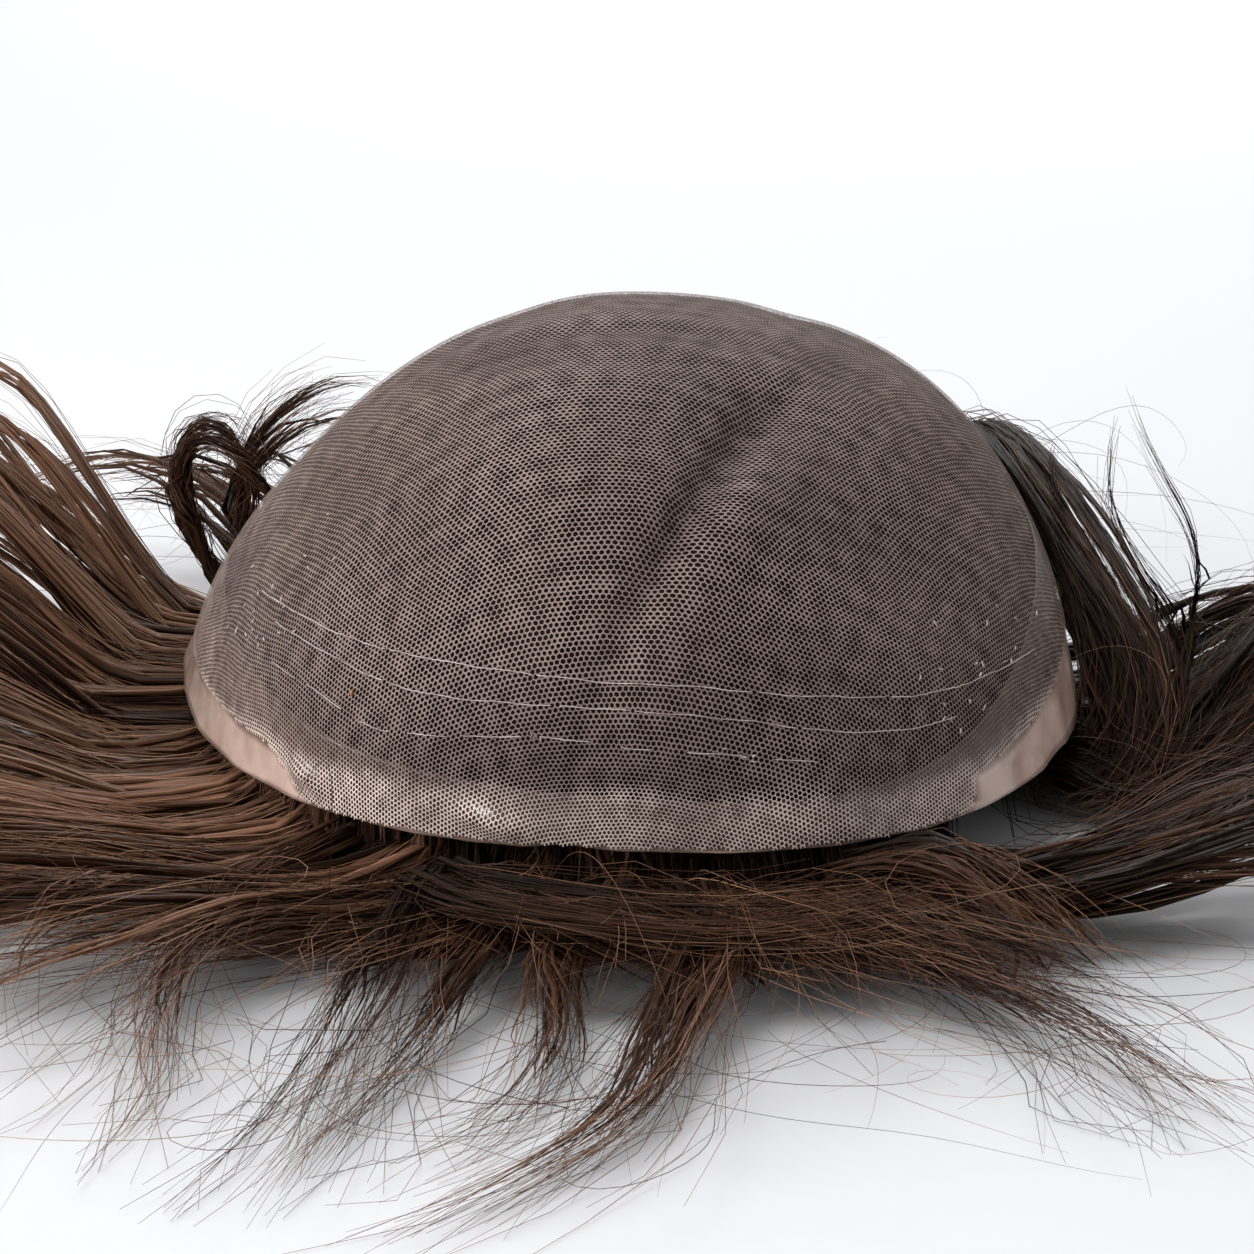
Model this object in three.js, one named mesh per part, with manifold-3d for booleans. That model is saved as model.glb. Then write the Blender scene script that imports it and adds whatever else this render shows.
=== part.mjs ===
// A toupee turned inside out and set down on its own hair: a domed lace base with a clear film
// round its edge, and the hair that is knotted to the hidden side and spills out under the rim.
// Millimetres, +Z up, +X to the wearer's left hand, the front hairline towards -Y.
import * as THREE from "three";
import { mergeVertices } from "three/addons/utils/BufferGeometryUtils.js";
import Module from "manifold-3d";

const wasm = await Module();
wasm.setup();

// Sizes of the base
const CROWN_WIDTH = 135; // nominal, across the rim from side to side
const CROWN_LENGTH = 192; // nominal, across the rim from front to back
const CROWN_HEIGHT = 62; // from the rim to the top
const ROUND_TOP = 0.6; // share of the way down by which each section has its own profile
const RIM_HEIGHT = 14; // the hair holds the rim this far off the surface
const LACE_WALL = 1.0;
const FILM_WALL = 1.0;
const LAYER_GAP = 0.5; // clear space between one layer and the next

// Sizes of the hair
const HAIR_LAYER = 5; // thickness of the layer of hair that lines the base
const LINING_END = 0.93; // share of the way down from the top to the rim at which the lining ends
const HAIR_LENGTH = 150;
const LOCK_WIDTH = 26;
const LOCK_THICKNESS = 12;
const LOCK_ROOT = 0.8; // share of the way down at which the locks leave the lining
const LOCK_TURN = 9; // distance inside the rim at which they turn outwards
const LOCK_CLEAR = 0.14; // share of its length over which a lock stays low to clear the rim
const ARCH_POWER = 1.3; // how flat an arching lock starts and ends
const WIDTH_TAPER = 0.94; // share of its width squared that a lock loses by its tip
const THICK_TAPER = 0.72; // share of its thickness that it loses
const ROOT_WIDTH = 0.8; // share of its width that a lock has at its root
const ROOT_THICK = 0.3; // its half thickness there, as a share of the lining's
const ROOT_DEPTH = 0.6; // and how deep it lies in the lining
const LOCK_SEAT = 0.6; // height of a lying lock's middle, as a share of its half thickness

// Fineness of the faceted skins
const AZIMUTH_STEPS = 48;
const LACE_RINGS = 12;
const FILM_RINGS = 4;
const LINING_RINGS = 6;
const LOCK_STEPS = 6;
const LOCK_SIDES = 6;
const SLOPE_STEP = 0.004; // step for measuring the slope of the crown

// The crown by azimuth, in degrees from +X. reach is the share of the half width or half length,
// fullness the power of its profile (2 is an ellipse), laceEnd and filmTop the shares of the way
// down from the top to the rim at which the lace stops and the film starts.
const CROWN_SECTIONS = [
  { azimuth: 0, reach: 1.08, fullness: 2.3, laceEnd: 0.9, filmTop: 0.76 },
  { azimuth: 45, reach: 1.13, fullness: 2.7, laceEnd: 0.915, filmTop: 0.8 },
  { azimuth: 90, reach: 1.18, fullness: 2.3, laceEnd: 0.925, filmTop: 0.82 },
  { azimuth: 135, reach: 1.22, fullness: 1.45, laceEnd: 0.915, filmTop: 0.79 },
  { azimuth: 180, reach: 1.0, fullness: 1.75, laceEnd: 0.9, filmTop: 0.75 },
  { azimuth: 225, reach: 0.87, fullness: 1.8, laceEnd: 0.93, filmTop: 0.86 },
  { azimuth: 270, reach: 0.81, fullness: 2.0, laceEnd: 1.0, filmTop: 0.92 },
  { azimuth: 315, reach: 0.97, fullness: 1.7, laceEnd: 0.94, filmTop: 0.88 },
];

// Creases and dents. across, along, long and wide are shares of the way from the top to the rim,
// turn is the crease's direction in degrees from +X, and depth is a share of the crown's height.
const FOLDS = [
  { across: 0.14, along: -0.43, turn: 63, long: 0.3, wide: 0.035, depth: -0.036 }, // long crease
  { across: 0.21, along: -0.45, turn: 66, long: 0.26, wide: 0.05, depth: 0.02 }, // its raised side
  { across: 0.2, along: -0.3, turn: 50, long: 0.13, wide: 0.08, depth: -0.022 },
  { across: 0.02, along: -0.09, turn: 5, long: 0.28, wide: 0.03, depth: -0.011 }, // ripples on top
  { across: -0.06, along: -0.17, turn: -8, long: 0.24, wide: 0.035, depth: -0.009 },
  { across: -0.24, along: -0.02, turn: 20, long: 0.2, wide: 0.05, depth: -0.012 },
  { across: -0.42, along: -0.3, turn: 120, long: 0.22, wide: 0.1, depth: -0.014 },
  { across: 0.5, along: -0.28, turn: 60, long: 0.2, wide: 0.08, depth: -0.012 },
  { across: -0.3, along: 0.45, turn: 110, long: 0.25, wide: 0.06, depth: -0.02 }, // on the back
  { across: 0.32, along: 0.5, turn: 75, long: 0.28, wide: 0.05, depth: -0.022 },
];

// The locks, in order round the rim. root is the azimuth at which a lock passes under the rim,
// heading its compass direction there, bend how far it turns along its length, all in degrees.
// length, width: shares of HAIR_LENGTH and LOCK_WIDTH. lift, tip: how high the middle and the
// end stand, as shares of CROWN_HEIGHT.
const LOCKS = [
  { root: 1, heading: 2, length: 0.7, bend: 66, lift: 0.22, tip: 0.3, width: 0.9 },
  { root: 10, heading: 350, length: 0.74, bend: 30, lift: 0.26, tip: 0.14, width: 1.0 },
  { root: 20, heading: 352, length: 0.62, bend: 10, lift: 0.22, tip: 0.1, width: 1.0 },
  { root: 31, heading: 340, length: 0.5, bend: -60, lift: 0.3, tip: 0.02, width: 0.9 },
  { root: 42, heading: 14, length: 0.46, bend: -92, lift: 0.48, tip: 0.05, width: 0.8 },
  { root: 52, heading: 28, length: 0.44, bend: -124, lift: 0.62, tip: 0.05, width: 0.7 },
  { root: 60, heading: 64, length: 0.6, bend: -20, lift: 0.22, tip: 0.0, width: 1.0 },
  { root: 71, heading: 76, length: 0.64, bend: -28, lift: 0.22, tip: 0.04, width: 1.0 },
  { root: 82, heading: 84, length: 0.66, bend: 26, lift: 0.14, tip: 0.0, width: 1.1 },
  { root: 93, heading: 94, length: 0.62, bend: -32, lift: 0.24, tip: 0.06, width: 1.0 },
  { root: 104, heading: 106, length: 0.68, bend: 24, lift: 0.16, tip: 0.0, width: 1.1 },
  { root: 115, heading: 118, length: 0.64, bend: -26, lift: 0.22, tip: 0.03, width: 1.0 },
  { root: 126, heading: 126, length: 0.68, bend: 32, lift: 0.26, tip: 0.08, width: 1.0 },
  { root: 136, heading: 164, length: 0.42, bend: -180, lift: 0.48, tip: 0.46, width: 0.7 },
  { root: 144, heading: 150, length: 0.8, bend: 14, lift: 0.4, tip: 0.42, width: 1.0 },
  { root: 153, heading: 160, length: 0.84, bend: -8, lift: 0.42, tip: 0.34, width: 1.0 },
  { root: 161, heading: 168, length: 0.82, bend: 14, lift: 0.4, tip: 0.2, width: 1.0 },
  { root: 170, heading: 174, length: 0.82, bend: 18, lift: 0.36, tip: 0.1, width: 1.0 },
  { root: 179, heading: 182, length: 0.8, bend: 16, lift: 0.28, tip: 0.04, width: 1.0 },
  { root: 188, heading: 188, length: 0.82, bend: 12, lift: 0.22, tip: 0.0, width: 1.0 },
  { root: 197, heading: 192, length: 0.84, bend: 8, lift: 0.18, tip: 0.0, width: 1.0 },
  { root: 206, heading: 198, length: 0.88, bend: -4, lift: 0.16, tip: 0.0, width: 1.0 },
  { root: 215, heading: 204, length: 0.9, bend: -10, lift: 0.16, tip: 0.0, width: 1.0 },
  { root: 225, heading: 211, length: 0.94, bend: -14, lift: 0.15, tip: 0.0, width: 1.0 },
  { root: 232, heading: 220, length: 0.78, bend: 36, lift: 0.1, tip: 0.0, width: 0.7 },
  { root: 238, heading: 214, length: 0.98, bend: -14, lift: 0.13, tip: 0.0, width: 1.0 },
  { root: 246, heading: 228, length: 0.82, bend: 26, lift: 0.08, tip: 0.0, width: 0.7 },
  { root: 252, heading: 216, length: 0.94, bend: -10, lift: 0.1, tip: 0.0, width: 0.9 },
  { root: 258, heading: 236, length: 0.74, bend: 24, lift: 0.06, tip: 0.0, width: 0.7 },
  { root: 266, heading: 250, length: 0.6, bend: 26, lift: 0.05, tip: 0.0, width: 0.8 },
  { root: 268, heading: 290, length: 0.56, bend: 84, lift: 0.1, tip: 0.02, width: 0.8 },
  { root: 280, heading: 282, length: 0.8, bend: -56, lift: 0.06, tip: 0.0, width: 0.7 },
  { root: 286, heading: 284, length: 0.56, bend: 10, lift: 0.1, tip: 0.0, width: 1.0 },
  { root: 294, heading: 288, length: 0.6, bend: 30, lift: 0.08, tip: 0.0, width: 0.9 },
  { root: 300, heading: 288, length: 0.7, bend: 26, lift: 0.05, tip: 0.0, width: 0.8 },
  { root: 305, heading: 332, length: 0.84, bend: 92, lift: 0.12, tip: 0.08, width: 1.0 },
  { root: 311, heading: 346, length: 0.84, bend: 84, lift: 0.14, tip: 0.14, width: 0.9 },
  { root: 317, heading: 345, length: 0.4, bend: 60, lift: 0.05, tip: 0.0, width: 0.6 },
  { root: 338, heading: 8, length: 0.5, bend: 80, lift: 0.16, tip: 0.1, width: 0.8 },
  { root: 347, heading: 2, length: 0.66, bend: 76, lift: 0.22, tip: 0.2, width: 0.8 },
  { root: 355, heading: 358, length: 0.7, bend: 70, lift: 0.26, tip: 0.34, width: 1.0 },
];

const MATERIALS = {
  lace: new THREE.MeshStandardMaterial({ color: 0x85746c, roughness: 0.85, metalness: 0 }),
  film: new THREE.MeshStandardMaterial({ color: 0xb79d90, roughness: 0.3, metalness: 0 }),
  hair: new THREE.MeshStandardMaterial({ color: 0x3b271d, roughness: 0.5, metalness: 0 }),
};

const radians = THREE.MathUtils.degToRad;

// A column of CROWN_SECTIONS at any azimuth, on a smooth closed curve through its rows.
function sectionAt(column, azimuth) {
  const count = CROWN_SECTIONS.length;
  const place = THREE.MathUtils.euclideanModulo((azimuth / (2 * Math.PI)) * count, count);
  const row = Math.floor(place);
  const t = place - row;
  const [a, b, c, d] = [-1, 0, 1, 2].map((k) => CROWN_SECTIONS[(row + k + count) % count][column]);
  return b + 0.5 * t * (c - a + t * (2 * a - 5 * b + 4 * c - d + t * (3 * (b - c) + d - a)));
}

// How far the folds move the crown outwards, at a place given in shares of the way to the rim.
function foldDepth(across, along) {
  return FOLDS.reduce((sum, fold) => {
    const turn = radians(fold.turn);
    const x = across - fold.across;
    const y = along - fold.along;
    const lengthways = (x * Math.cos(turn) + y * Math.sin(turn)) / fold.long;
    const sideways = (y * Math.cos(turn) - x * Math.sin(turn)) / fold.wide;
    return sum + fold.depth * Math.exp(-(lengthways ** 2) - sideways ** 2);
  }, 0);
}

// The smooth crown: fall is 0 at the top and 1 at the rim. The top itself is round.
function smoothCrown(azimuth, fall) {
  const angle = (fall * Math.PI) / 2;
  const settled = THREE.MathUtils.smoothstep(fall, 0, ROUND_TOP);
  const power = 2 / (2 + (sectionAt("fullness", azimuth) - 2) * settled);
  const reach = (1 + (sectionAt("reach", azimuth) - 1) * fall ** 2) * Math.sin(angle) ** power;
  const rise = Math.max(Math.cos(angle), 0) ** power;
  return new THREE.Vector3(
    (CROWN_WIDTH / 2) * Math.cos(azimuth) * reach,
    (CROWN_LENGTH / 2) * Math.sin(azimuth) * reach,
    RIM_HEIGHT + CROWN_HEIGHT * rise,
  );
}

// The crown's outward direction, taken a step above the rim there, where the crown ends.
function crownNormal(azimuth, fall) {
  if (fall < SLOPE_STEP) return new THREE.Vector3(0, 0, 1);
  const low = Math.min(fall, 1 - SLOPE_STEP);
  const here = smoothCrown(azimuth, low);
  const down = smoothCrown(azimuth, low + SLOPE_STEP).sub(here);
  const round = smoothCrown(azimuth + SLOPE_STEP, low).sub(here);
  return down.cross(round).normalize();
}

// A point of the crown, folds included, moved inwards by inset.
function crownPoint(azimuth, fall, inset) {
  const fold = foldDepth(fall * Math.cos(azimuth), fall * Math.sin(azimuth)) * CROWN_HEIGHT;
  return smoothCrown(azimuth, fall).addScaledVector(crownNormal(azimuth, fall), fold - inset);
}

function geometryOf(points, faces) {
  const geometry = new THREE.BufferGeometry().setFromPoints(points);
  geometry.setIndex(faces);
  geometry.computeVertexNormals();
  return geometry;
}

// A closed skin round the crown. rowAt gives the points of its section at an azimuth. A capped
// skin's section starts and ends on the axis, and any other section closes on itself.
function roundSkin(rowAt, capped) {
  const points = [];
  const columns = [];
  for (let step = 0; step < AZIMUTH_STEPS; step++) {
    const row = rowAt((step / AZIMUTH_STEPS) * 2 * Math.PI);
    columns.push(
      row.map((point, place) => {
        const onAxis = capped && (place === 0 || place === row.length - 1);
        if (onAxis && step > 0) return columns[0][place];
        return points.push(point) - 1;
      }),
    );
  }
  const faces = [];
  columns.forEach((column, step) => {
    const next = columns[(step + 1) % AZIMUTH_STEPS];
    const last = capped ? column.length - 1 : column.length;
    for (let place = 0; place < last; place++) {
      const below = (place + 1) % column.length;
      if (column[place] !== next[place]) faces.push(column[place], column[below], next[place]);
      if (column[below] !== next[below]) faces.push(next[place], column[below], next[below]);
    }
  });
  return geometryOf(points, faces);
}

// The points of a wall's section from one fall to another, down its outside and up its inside.
function wallSection(azimuth, from, to, inset, wall, rings) {
  const falls = Array.from({ length: rings + 1 }, (_, ring) => from + ((to - from) * ring) / rings);
  const outside = falls.map((fall) => crownPoint(azimuth, fall, inset));
  const inside = falls.map((fall) => crownPoint(azimuth, fall, inset + wall));
  return [...outside, ...inside.reverse()];
}

function laceGeometry() {
  const section = (azimuth) => {
    const end = Math.min(sectionAt("laceEnd", azimuth), 1);
    return wallSection(azimuth, 0, end, 0, LACE_WALL, LACE_RINGS);
  };
  return roundSkin(section, true);
}

const FILM_INSET = LACE_WALL + LAYER_GAP;

function filmGeometry() {
  const section = (azimuth) =>
    wallSection(azimuth, sectionAt("filmTop", azimuth), 1, FILM_INSET, FILM_WALL, FILM_RINGS);
  return roundSkin(section, false);
}

const LINING_INSET = FILM_INSET + FILM_WALL + LAYER_GAP;

function liningGeometry() {
  const section = (azimuth) =>
    wallSection(azimuth, 0, LINING_END, LINING_INSET, HAIR_LAYER, LINING_RINGS);
  return roundSkin(section, true);
}

// The stations of a lock from its root in the lining to its tip: place, plan heading and half
// sizes. It drops inside the rim, passes under it and then rises and falls along its heading.
function lockStations(lock) {
  const azimuth = radians(lock.root);
  const outward = crownNormal(azimuth, 1);
  const out = Math.atan2(outward.y, outward.x);
  const halfWidth = (LOCK_WIDTH / 2) * lock.width;
  const halfThick = LOCK_THICKNESS / 2;
  const place = smoothCrown(azimuth, 1).addScaledVector(outward, -LOCK_TURN);
  place.z = halfThick * LOCK_SEAT;
  const root = crownPoint(azimuth, LOCK_ROOT, LINING_INSET + HAIR_LAYER * ROOT_DEPTH);
  const stations = [
    { place: root, heading: out, width: halfWidth * ROOT_WIDTH, thick: HAIR_LAYER * ROOT_THICK },
    { place: place.clone(), heading: out, width: halfWidth, thick: halfThick },
  ];
  const stride = (HAIR_LENGTH * lock.length) / LOCK_STEPS;
  for (let step = 1; step <= LOCK_STEPS; step++) {
    const share = step / LOCK_STEPS;
    const heading = radians(lock.heading + lock.bend * (share - 0.5 / LOCK_STEPS));
    place.x += stride * Math.cos(heading);
    place.y += stride * Math.sin(heading);
    const width = halfWidth * Math.sqrt(1 - WIDTH_TAPER * share ** 2);
    const thick = halfThick * (1 - THICK_TAPER * share);
    const flown = Math.max(share - LOCK_CLEAR, 0) / (1 - LOCK_CLEAR);
    const arch = lock.lift * Math.sin(Math.PI * flown) ** ARCH_POWER + lock.tip * flown ** 2;
    place.z = thick * LOCK_SEAT + CROWN_HEIGHT * arch;
    stations.push({ place: place.clone(), heading, width, thick });
  }
  return stations;
}

// A lock's closed skin: an oval section at each station, wide in plan and thin in height.
function lockGeometry(lock) {
  const stations = lockStations(lock);
  const points = [];
  stations.forEach(({ place, heading, width, thick }, index) => {
    const before = stations[Math.max(index - 1, 0)].place;
    const after = stations[Math.min(index + 1, stations.length - 1)].place;
    const forward = after.clone().sub(before).normalize();
    const side = new THREE.Vector3(-Math.sin(heading), Math.cos(heading), 0);
    const above = forward.clone().cross(side).normalize();
    for (let corner = 0; corner < LOCK_SIDES; corner++) {
      const angle = (corner / LOCK_SIDES) * 2 * Math.PI;
      const point = place.clone().addScaledVector(side, width * Math.cos(angle));
      points.push(point.addScaledVector(above, thick * Math.sin(angle)));
    }
  });
  const faces = [];
  for (let index = 0; index + 1 < stations.length; index++) {
    for (let corner = 0; corner < LOCK_SIDES; corner++) {
      const a = index * LOCK_SIDES + corner;
      const b = index * LOCK_SIDES + ((corner + 1) % LOCK_SIDES);
      faces.push(a, b, b + LOCK_SIDES, a, b + LOCK_SIDES, a + LOCK_SIDES);
    }
  }
  const end = (stations.length - 1) * LOCK_SIDES;
  for (let corner = 1; corner + 1 < LOCK_SIDES; corner++) {
    faces.push(0, corner + 1, corner, end, end + corner, end + corner + 1);
  }
  return geometryOf(points, faces);
}

function solidOf(geometry) {
  const bare = new THREE.BufferGeometry().setAttribute("position", geometry.getAttribute("position"));
  bare.setIndex(geometry.index);
  const merged = mergeVertices(bare);
  return new wasm.Manifold(
    new wasm.Mesh({
      numProp: 3,
      vertProperties: new Float32Array(merged.getAttribute("position").array),
      triVerts: new Uint32Array(merged.index.array),
    }),
  );
}

function geometryFrom(solid) {
  const mesh = solid.getMesh();
  const geometry = new THREE.BufferGeometry();
  geometry.setAttribute("position", new THREE.BufferAttribute(mesh.vertProperties, 3));
  geometry.setIndex(new THREE.BufferAttribute(mesh.triVerts, 1));
  geometry.computeVertexNormals();
  return geometry;
}

// The hair: the lining and its locks as one solid, with its underside flat on the surface.
function hairGeometry() {
  const locks = LOCKS.map((lock) => solidOf(lockGeometry(lock)));
  const hair = locks.reduce((sum, lock) => sum.add(lock), solidOf(liningGeometry()));
  const spread = 4 * (CROWN_LENGTH + HAIR_LENGTH);
  const depth = CROWN_HEIGHT;
  const ground = new THREE.BoxGeometry(spread, spread, depth).translate(0, 0, -depth / 2);
  return geometryFrom(hair.subtract(solidOf(ground)));
}

function part(name, geometry, material) {
  const mesh = new THREE.Mesh(geometry, material);
  mesh.name = name;
  return mesh;
}

// The origin is under the middle of the whole, on the surface that it lies on.
const hairpiece = new THREE.Group();
hairpiece.add(
  part("lace_crown", laceGeometry(), MATERIALS.lace),
  part("film_band", filmGeometry(), MATERIALS.film),
  part("hair", hairGeometry(), MATERIALS.hair),
);
const extent = new THREE.Box3().setFromObject(hairpiece);
const middle = extent.getCenter(new THREE.Vector3());
hairpiece.position.set(-middle.x, -middle.y, -extent.min.z);

export default new THREE.Group().add(hairpiece);
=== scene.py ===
"""Looks of a toupee turned inside out: its lace net, film edge, stitches and hair, on a white table.

Everything is in metres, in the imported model's frame: +Z up, the front hairline towards -Y.
"""

import math

import bpy
import numpy as np
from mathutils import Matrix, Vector


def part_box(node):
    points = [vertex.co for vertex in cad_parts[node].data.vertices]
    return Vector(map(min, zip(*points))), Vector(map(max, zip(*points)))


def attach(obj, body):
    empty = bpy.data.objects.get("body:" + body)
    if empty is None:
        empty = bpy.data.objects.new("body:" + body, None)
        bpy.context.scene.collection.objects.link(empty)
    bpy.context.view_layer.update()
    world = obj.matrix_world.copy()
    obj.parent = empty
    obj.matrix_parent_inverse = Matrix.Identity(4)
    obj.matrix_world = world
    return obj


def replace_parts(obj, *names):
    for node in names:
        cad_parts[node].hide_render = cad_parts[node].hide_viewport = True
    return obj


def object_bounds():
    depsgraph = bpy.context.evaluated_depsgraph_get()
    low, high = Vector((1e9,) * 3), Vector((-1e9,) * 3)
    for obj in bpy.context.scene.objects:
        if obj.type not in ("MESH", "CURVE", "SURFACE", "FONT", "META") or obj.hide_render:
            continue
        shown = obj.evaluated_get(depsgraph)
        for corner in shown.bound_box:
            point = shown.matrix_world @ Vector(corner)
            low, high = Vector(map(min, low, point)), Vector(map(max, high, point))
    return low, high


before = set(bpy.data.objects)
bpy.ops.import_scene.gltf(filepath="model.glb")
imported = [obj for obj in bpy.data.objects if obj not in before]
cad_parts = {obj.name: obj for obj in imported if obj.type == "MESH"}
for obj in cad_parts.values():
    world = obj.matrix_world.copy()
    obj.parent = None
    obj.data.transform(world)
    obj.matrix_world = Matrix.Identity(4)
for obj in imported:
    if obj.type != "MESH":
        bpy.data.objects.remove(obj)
cad_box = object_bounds()


def table(columns, *rows):
    """Rows with named columns."""
    return [dict(zip(columns, row)) for row in rows]


# The crown, as its solid is made

CROWN_WIDTH = 0.135
CROWN_LENGTH = 0.192
CROWN_HEIGHT = 0.062
ROUND_TOP = 0.6
RIM_HEIGHT = 0.014
LACE_WALL = 0.001
LAYER_GAP = 0.0005
FILM_WALL = 0.001
HAIR_LAYER = 0.005
LINING_END = 0.93
LINING_INSET = LACE_WALL + FILM_WALL + 2 * LAYER_GAP
SLOPE_STEP = 0.004
SOLID_AZIMUTHS = 48
SOLID_RINGS = 12
SECTIONS = {
    "reach": (1.08, 1.13, 1.18, 1.22, 1.0, 0.87, 0.81, 0.97),
    "fullness": (2.3, 2.7, 2.3, 1.45, 1.75, 1.8, 2.0, 1.7),
    "lace_end": (0.9, 0.915, 0.925, 0.915, 0.9, 0.93, 1.0, 0.94),
    "film_top": (0.76, 0.8, 0.82, 0.79, 0.75, 0.86, 0.92, 0.88),
}
FOLD_COLUMNS = ("across", "along", "turn", "long", "wide", "depth")
FOLDS = table(
    FOLD_COLUMNS,
    (0.14, -0.43, 63, 0.3, 0.035, -0.036),
    (0.21, -0.45, 66, 0.26, 0.05, 0.02),
    (0.2, -0.3, 50, 0.13, 0.08, -0.022),
    (0.02, -0.09, 5, 0.28, 0.03, -0.011),
    (-0.06, -0.17, -8, 0.24, 0.035, -0.009),
    (-0.24, -0.02, 20, 0.2, 0.05, -0.012),
    (-0.42, -0.3, 120, 0.22, 0.1, -0.014),
    (0.5, -0.28, 60, 0.2, 0.08, -0.012),
    (-0.3, 0.45, 110, 0.25, 0.06, -0.02),
    (0.32, 0.5, 75, 0.28, 0.05, -0.022),
)

# The locks, as their solids are made
HAIR_LENGTH = 0.15
LOCK_WIDTH = 0.026
LOCK_CLEAR = 0.14
ARCH_POWER = 1.3
WIDTH_TAPER = 0.94
THICK_TAPER = 0.72
LOCK_COLUMNS = ("root", "heading", "length", "bend", "lift", "tip", "width")
LOCKS = table(
    LOCK_COLUMNS,
    (1, 2, 0.7, 66, 0.22, 0.3, 0.9),
    (10, 350, 0.74, 30, 0.26, 0.14, 1.0),
    (20, 352, 0.62, 10, 0.22, 0.1, 1.0),
    (31, 340, 0.5, -60, 0.3, 0.02, 0.9),
    (42, 14, 0.46, -92, 0.48, 0.05, 0.8),
    (52, 28, 0.44, -124, 0.62, 0.05, 0.7),
    (60, 64, 0.6, -20, 0.22, 0.0, 1.0),
    (71, 76, 0.64, -28, 0.22, 0.04, 1.0),
    (82, 84, 0.66, 26, 0.14, 0.0, 1.1),
    (93, 94, 0.62, -32, 0.24, 0.06, 1.0),
    (104, 106, 0.68, 24, 0.16, 0.0, 1.1),
    (115, 118, 0.64, -26, 0.22, 0.03, 1.0),
    (126, 126, 0.68, 32, 0.26, 0.08, 1.0),
    (136, 164, 0.42, -180, 0.48, 0.46, 0.7),
    (144, 150, 0.8, 14, 0.4, 0.42, 1.0),
    (153, 160, 0.84, -8, 0.42, 0.34, 1.0),
    (161, 168, 0.82, 14, 0.4, 0.2, 1.0),
    (170, 174, 0.82, 18, 0.36, 0.1, 1.0),
    (179, 182, 0.8, 16, 0.28, 0.04, 1.0),
    (188, 188, 0.82, 12, 0.22, 0.0, 1.0),
    (197, 192, 0.84, 8, 0.18, 0.0, 1.0),
    (206, 198, 0.88, -4, 0.16, 0.0, 1.0),
    (215, 204, 0.9, -10, 0.16, 0.0, 1.0),
    (225, 211, 0.94, -14, 0.15, 0.0, 1.0),
    (232, 220, 0.78, 36, 0.1, 0.0, 0.7),
    (238, 214, 0.98, -14, 0.13, 0.0, 1.0),
    (246, 228, 0.82, 26, 0.08, 0.0, 0.7),
    (252, 216, 0.94, -10, 0.1, 0.0, 0.9),
    (258, 236, 0.74, 24, 0.06, 0.0, 0.7),
    (266, 250, 0.6, 26, 0.05, 0.0, 0.8),
    (268, 290, 0.56, 84, 0.1, 0.02, 0.8),
    (280, 282, 0.8, -56, 0.06, 0.0, 0.7),
    (286, 284, 0.56, 10, 0.1, 0.0, 1.0),
    (294, 288, 0.6, 30, 0.08, 0.0, 0.9),
    (300, 288, 0.7, 26, 0.05, 0.0, 0.8),
    (305, 332, 0.84, 92, 0.12, 0.08, 1.0),
    (311, 346, 0.84, 84, 0.14, 0.14, 0.9),
    (317, 345, 0.4, 60, 0.05, 0.0, 0.6),
    (338, 8, 0.5, 80, 0.16, 0.1, 0.8),
    (347, 2, 0.66, 76, 0.22, 0.2, 0.8),
    (355, 358, 0.7, 70, 0.26, 0.34, 1.0),
)


# The crown's surface


def spline(a, b, c, d, t):
    """A Catmull-Rom curve's value at share t of the way from b to c."""
    return b + 0.5 * t * (c - a + t * (2 * a - 5 * b + 4 * c - d + t * (3 * (b - c) + d - a)))


def around(column, azimuth):
    """A column of SECTIONS at any azimuth, on a smooth closed curve through its values."""
    values = np.asarray(SECTIONS[column])
    place = np.mod(azimuth / (2 * np.pi) * len(values), len(values))
    row = np.floor(place).astype(int)
    t = place - row
    a, b, c, d = (values[(row + k) % len(values)] for k in (-1, 0, 1, 2))
    return spline(a, b, c, d, t)


def smoothstep(value, low, high):
    t = np.clip((value - low) / (high - low), 0, 1)
    return t * t * (3 - 2 * t)


def unit(vectors):
    return vectors / np.maximum(np.linalg.norm(vectors, axis=-1, keepdims=True), 1e-12)


def smooth_crown(azimuth, fall):
    """Points of the crown without its folds: fall is 0 at the top and 1 at the rim."""
    angle = fall * np.pi / 2
    power = 2 / (2 + (around("fullness", azimuth) - 2) * smoothstep(fall, 0, ROUND_TOP))
    reach = (1 + (around("reach", azimuth) - 1) * fall**2) * np.sin(angle) ** power
    return np.stack(
        [
            CROWN_WIDTH / 2 * np.cos(azimuth) * reach,
            CROWN_LENGTH / 2 * np.sin(azimuth) * reach,
            RIM_HEIGHT + CROWN_HEIGHT * np.maximum(np.cos(angle), 0) ** power,
        ],
        axis=-1,
    )


def crown_normal(azimuth, fall):
    low = np.minimum(np.maximum(fall, SLOPE_STEP), 1 - SLOPE_STEP)
    here = smooth_crown(azimuth, low)
    down = smooth_crown(azimuth, low + SLOPE_STEP) - here
    about = smooth_crown(azimuth + SLOPE_STEP, low) - here
    normal = unit(np.cross(down, about))
    normal[fall < SLOPE_STEP] = (0, 0, 1)
    return normal


def fold_depth(azimuth, fall):
    total = np.zeros(np.broadcast(azimuth, fall).shape)
    for fold in FOLDS:
        turn = math.radians(fold["turn"])
        x = fall * np.cos(azimuth) - fold["across"]
        y = fall * np.sin(azimuth) - fold["along"]
        lengthways = (x * math.cos(turn) + y * math.sin(turn)) / fold["long"]
        sideways = (y * math.cos(turn) - x * math.sin(turn)) / fold["wide"]
        total += fold["depth"] * np.exp(-(lengthways**2) - sideways**2)
    return total


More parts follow.
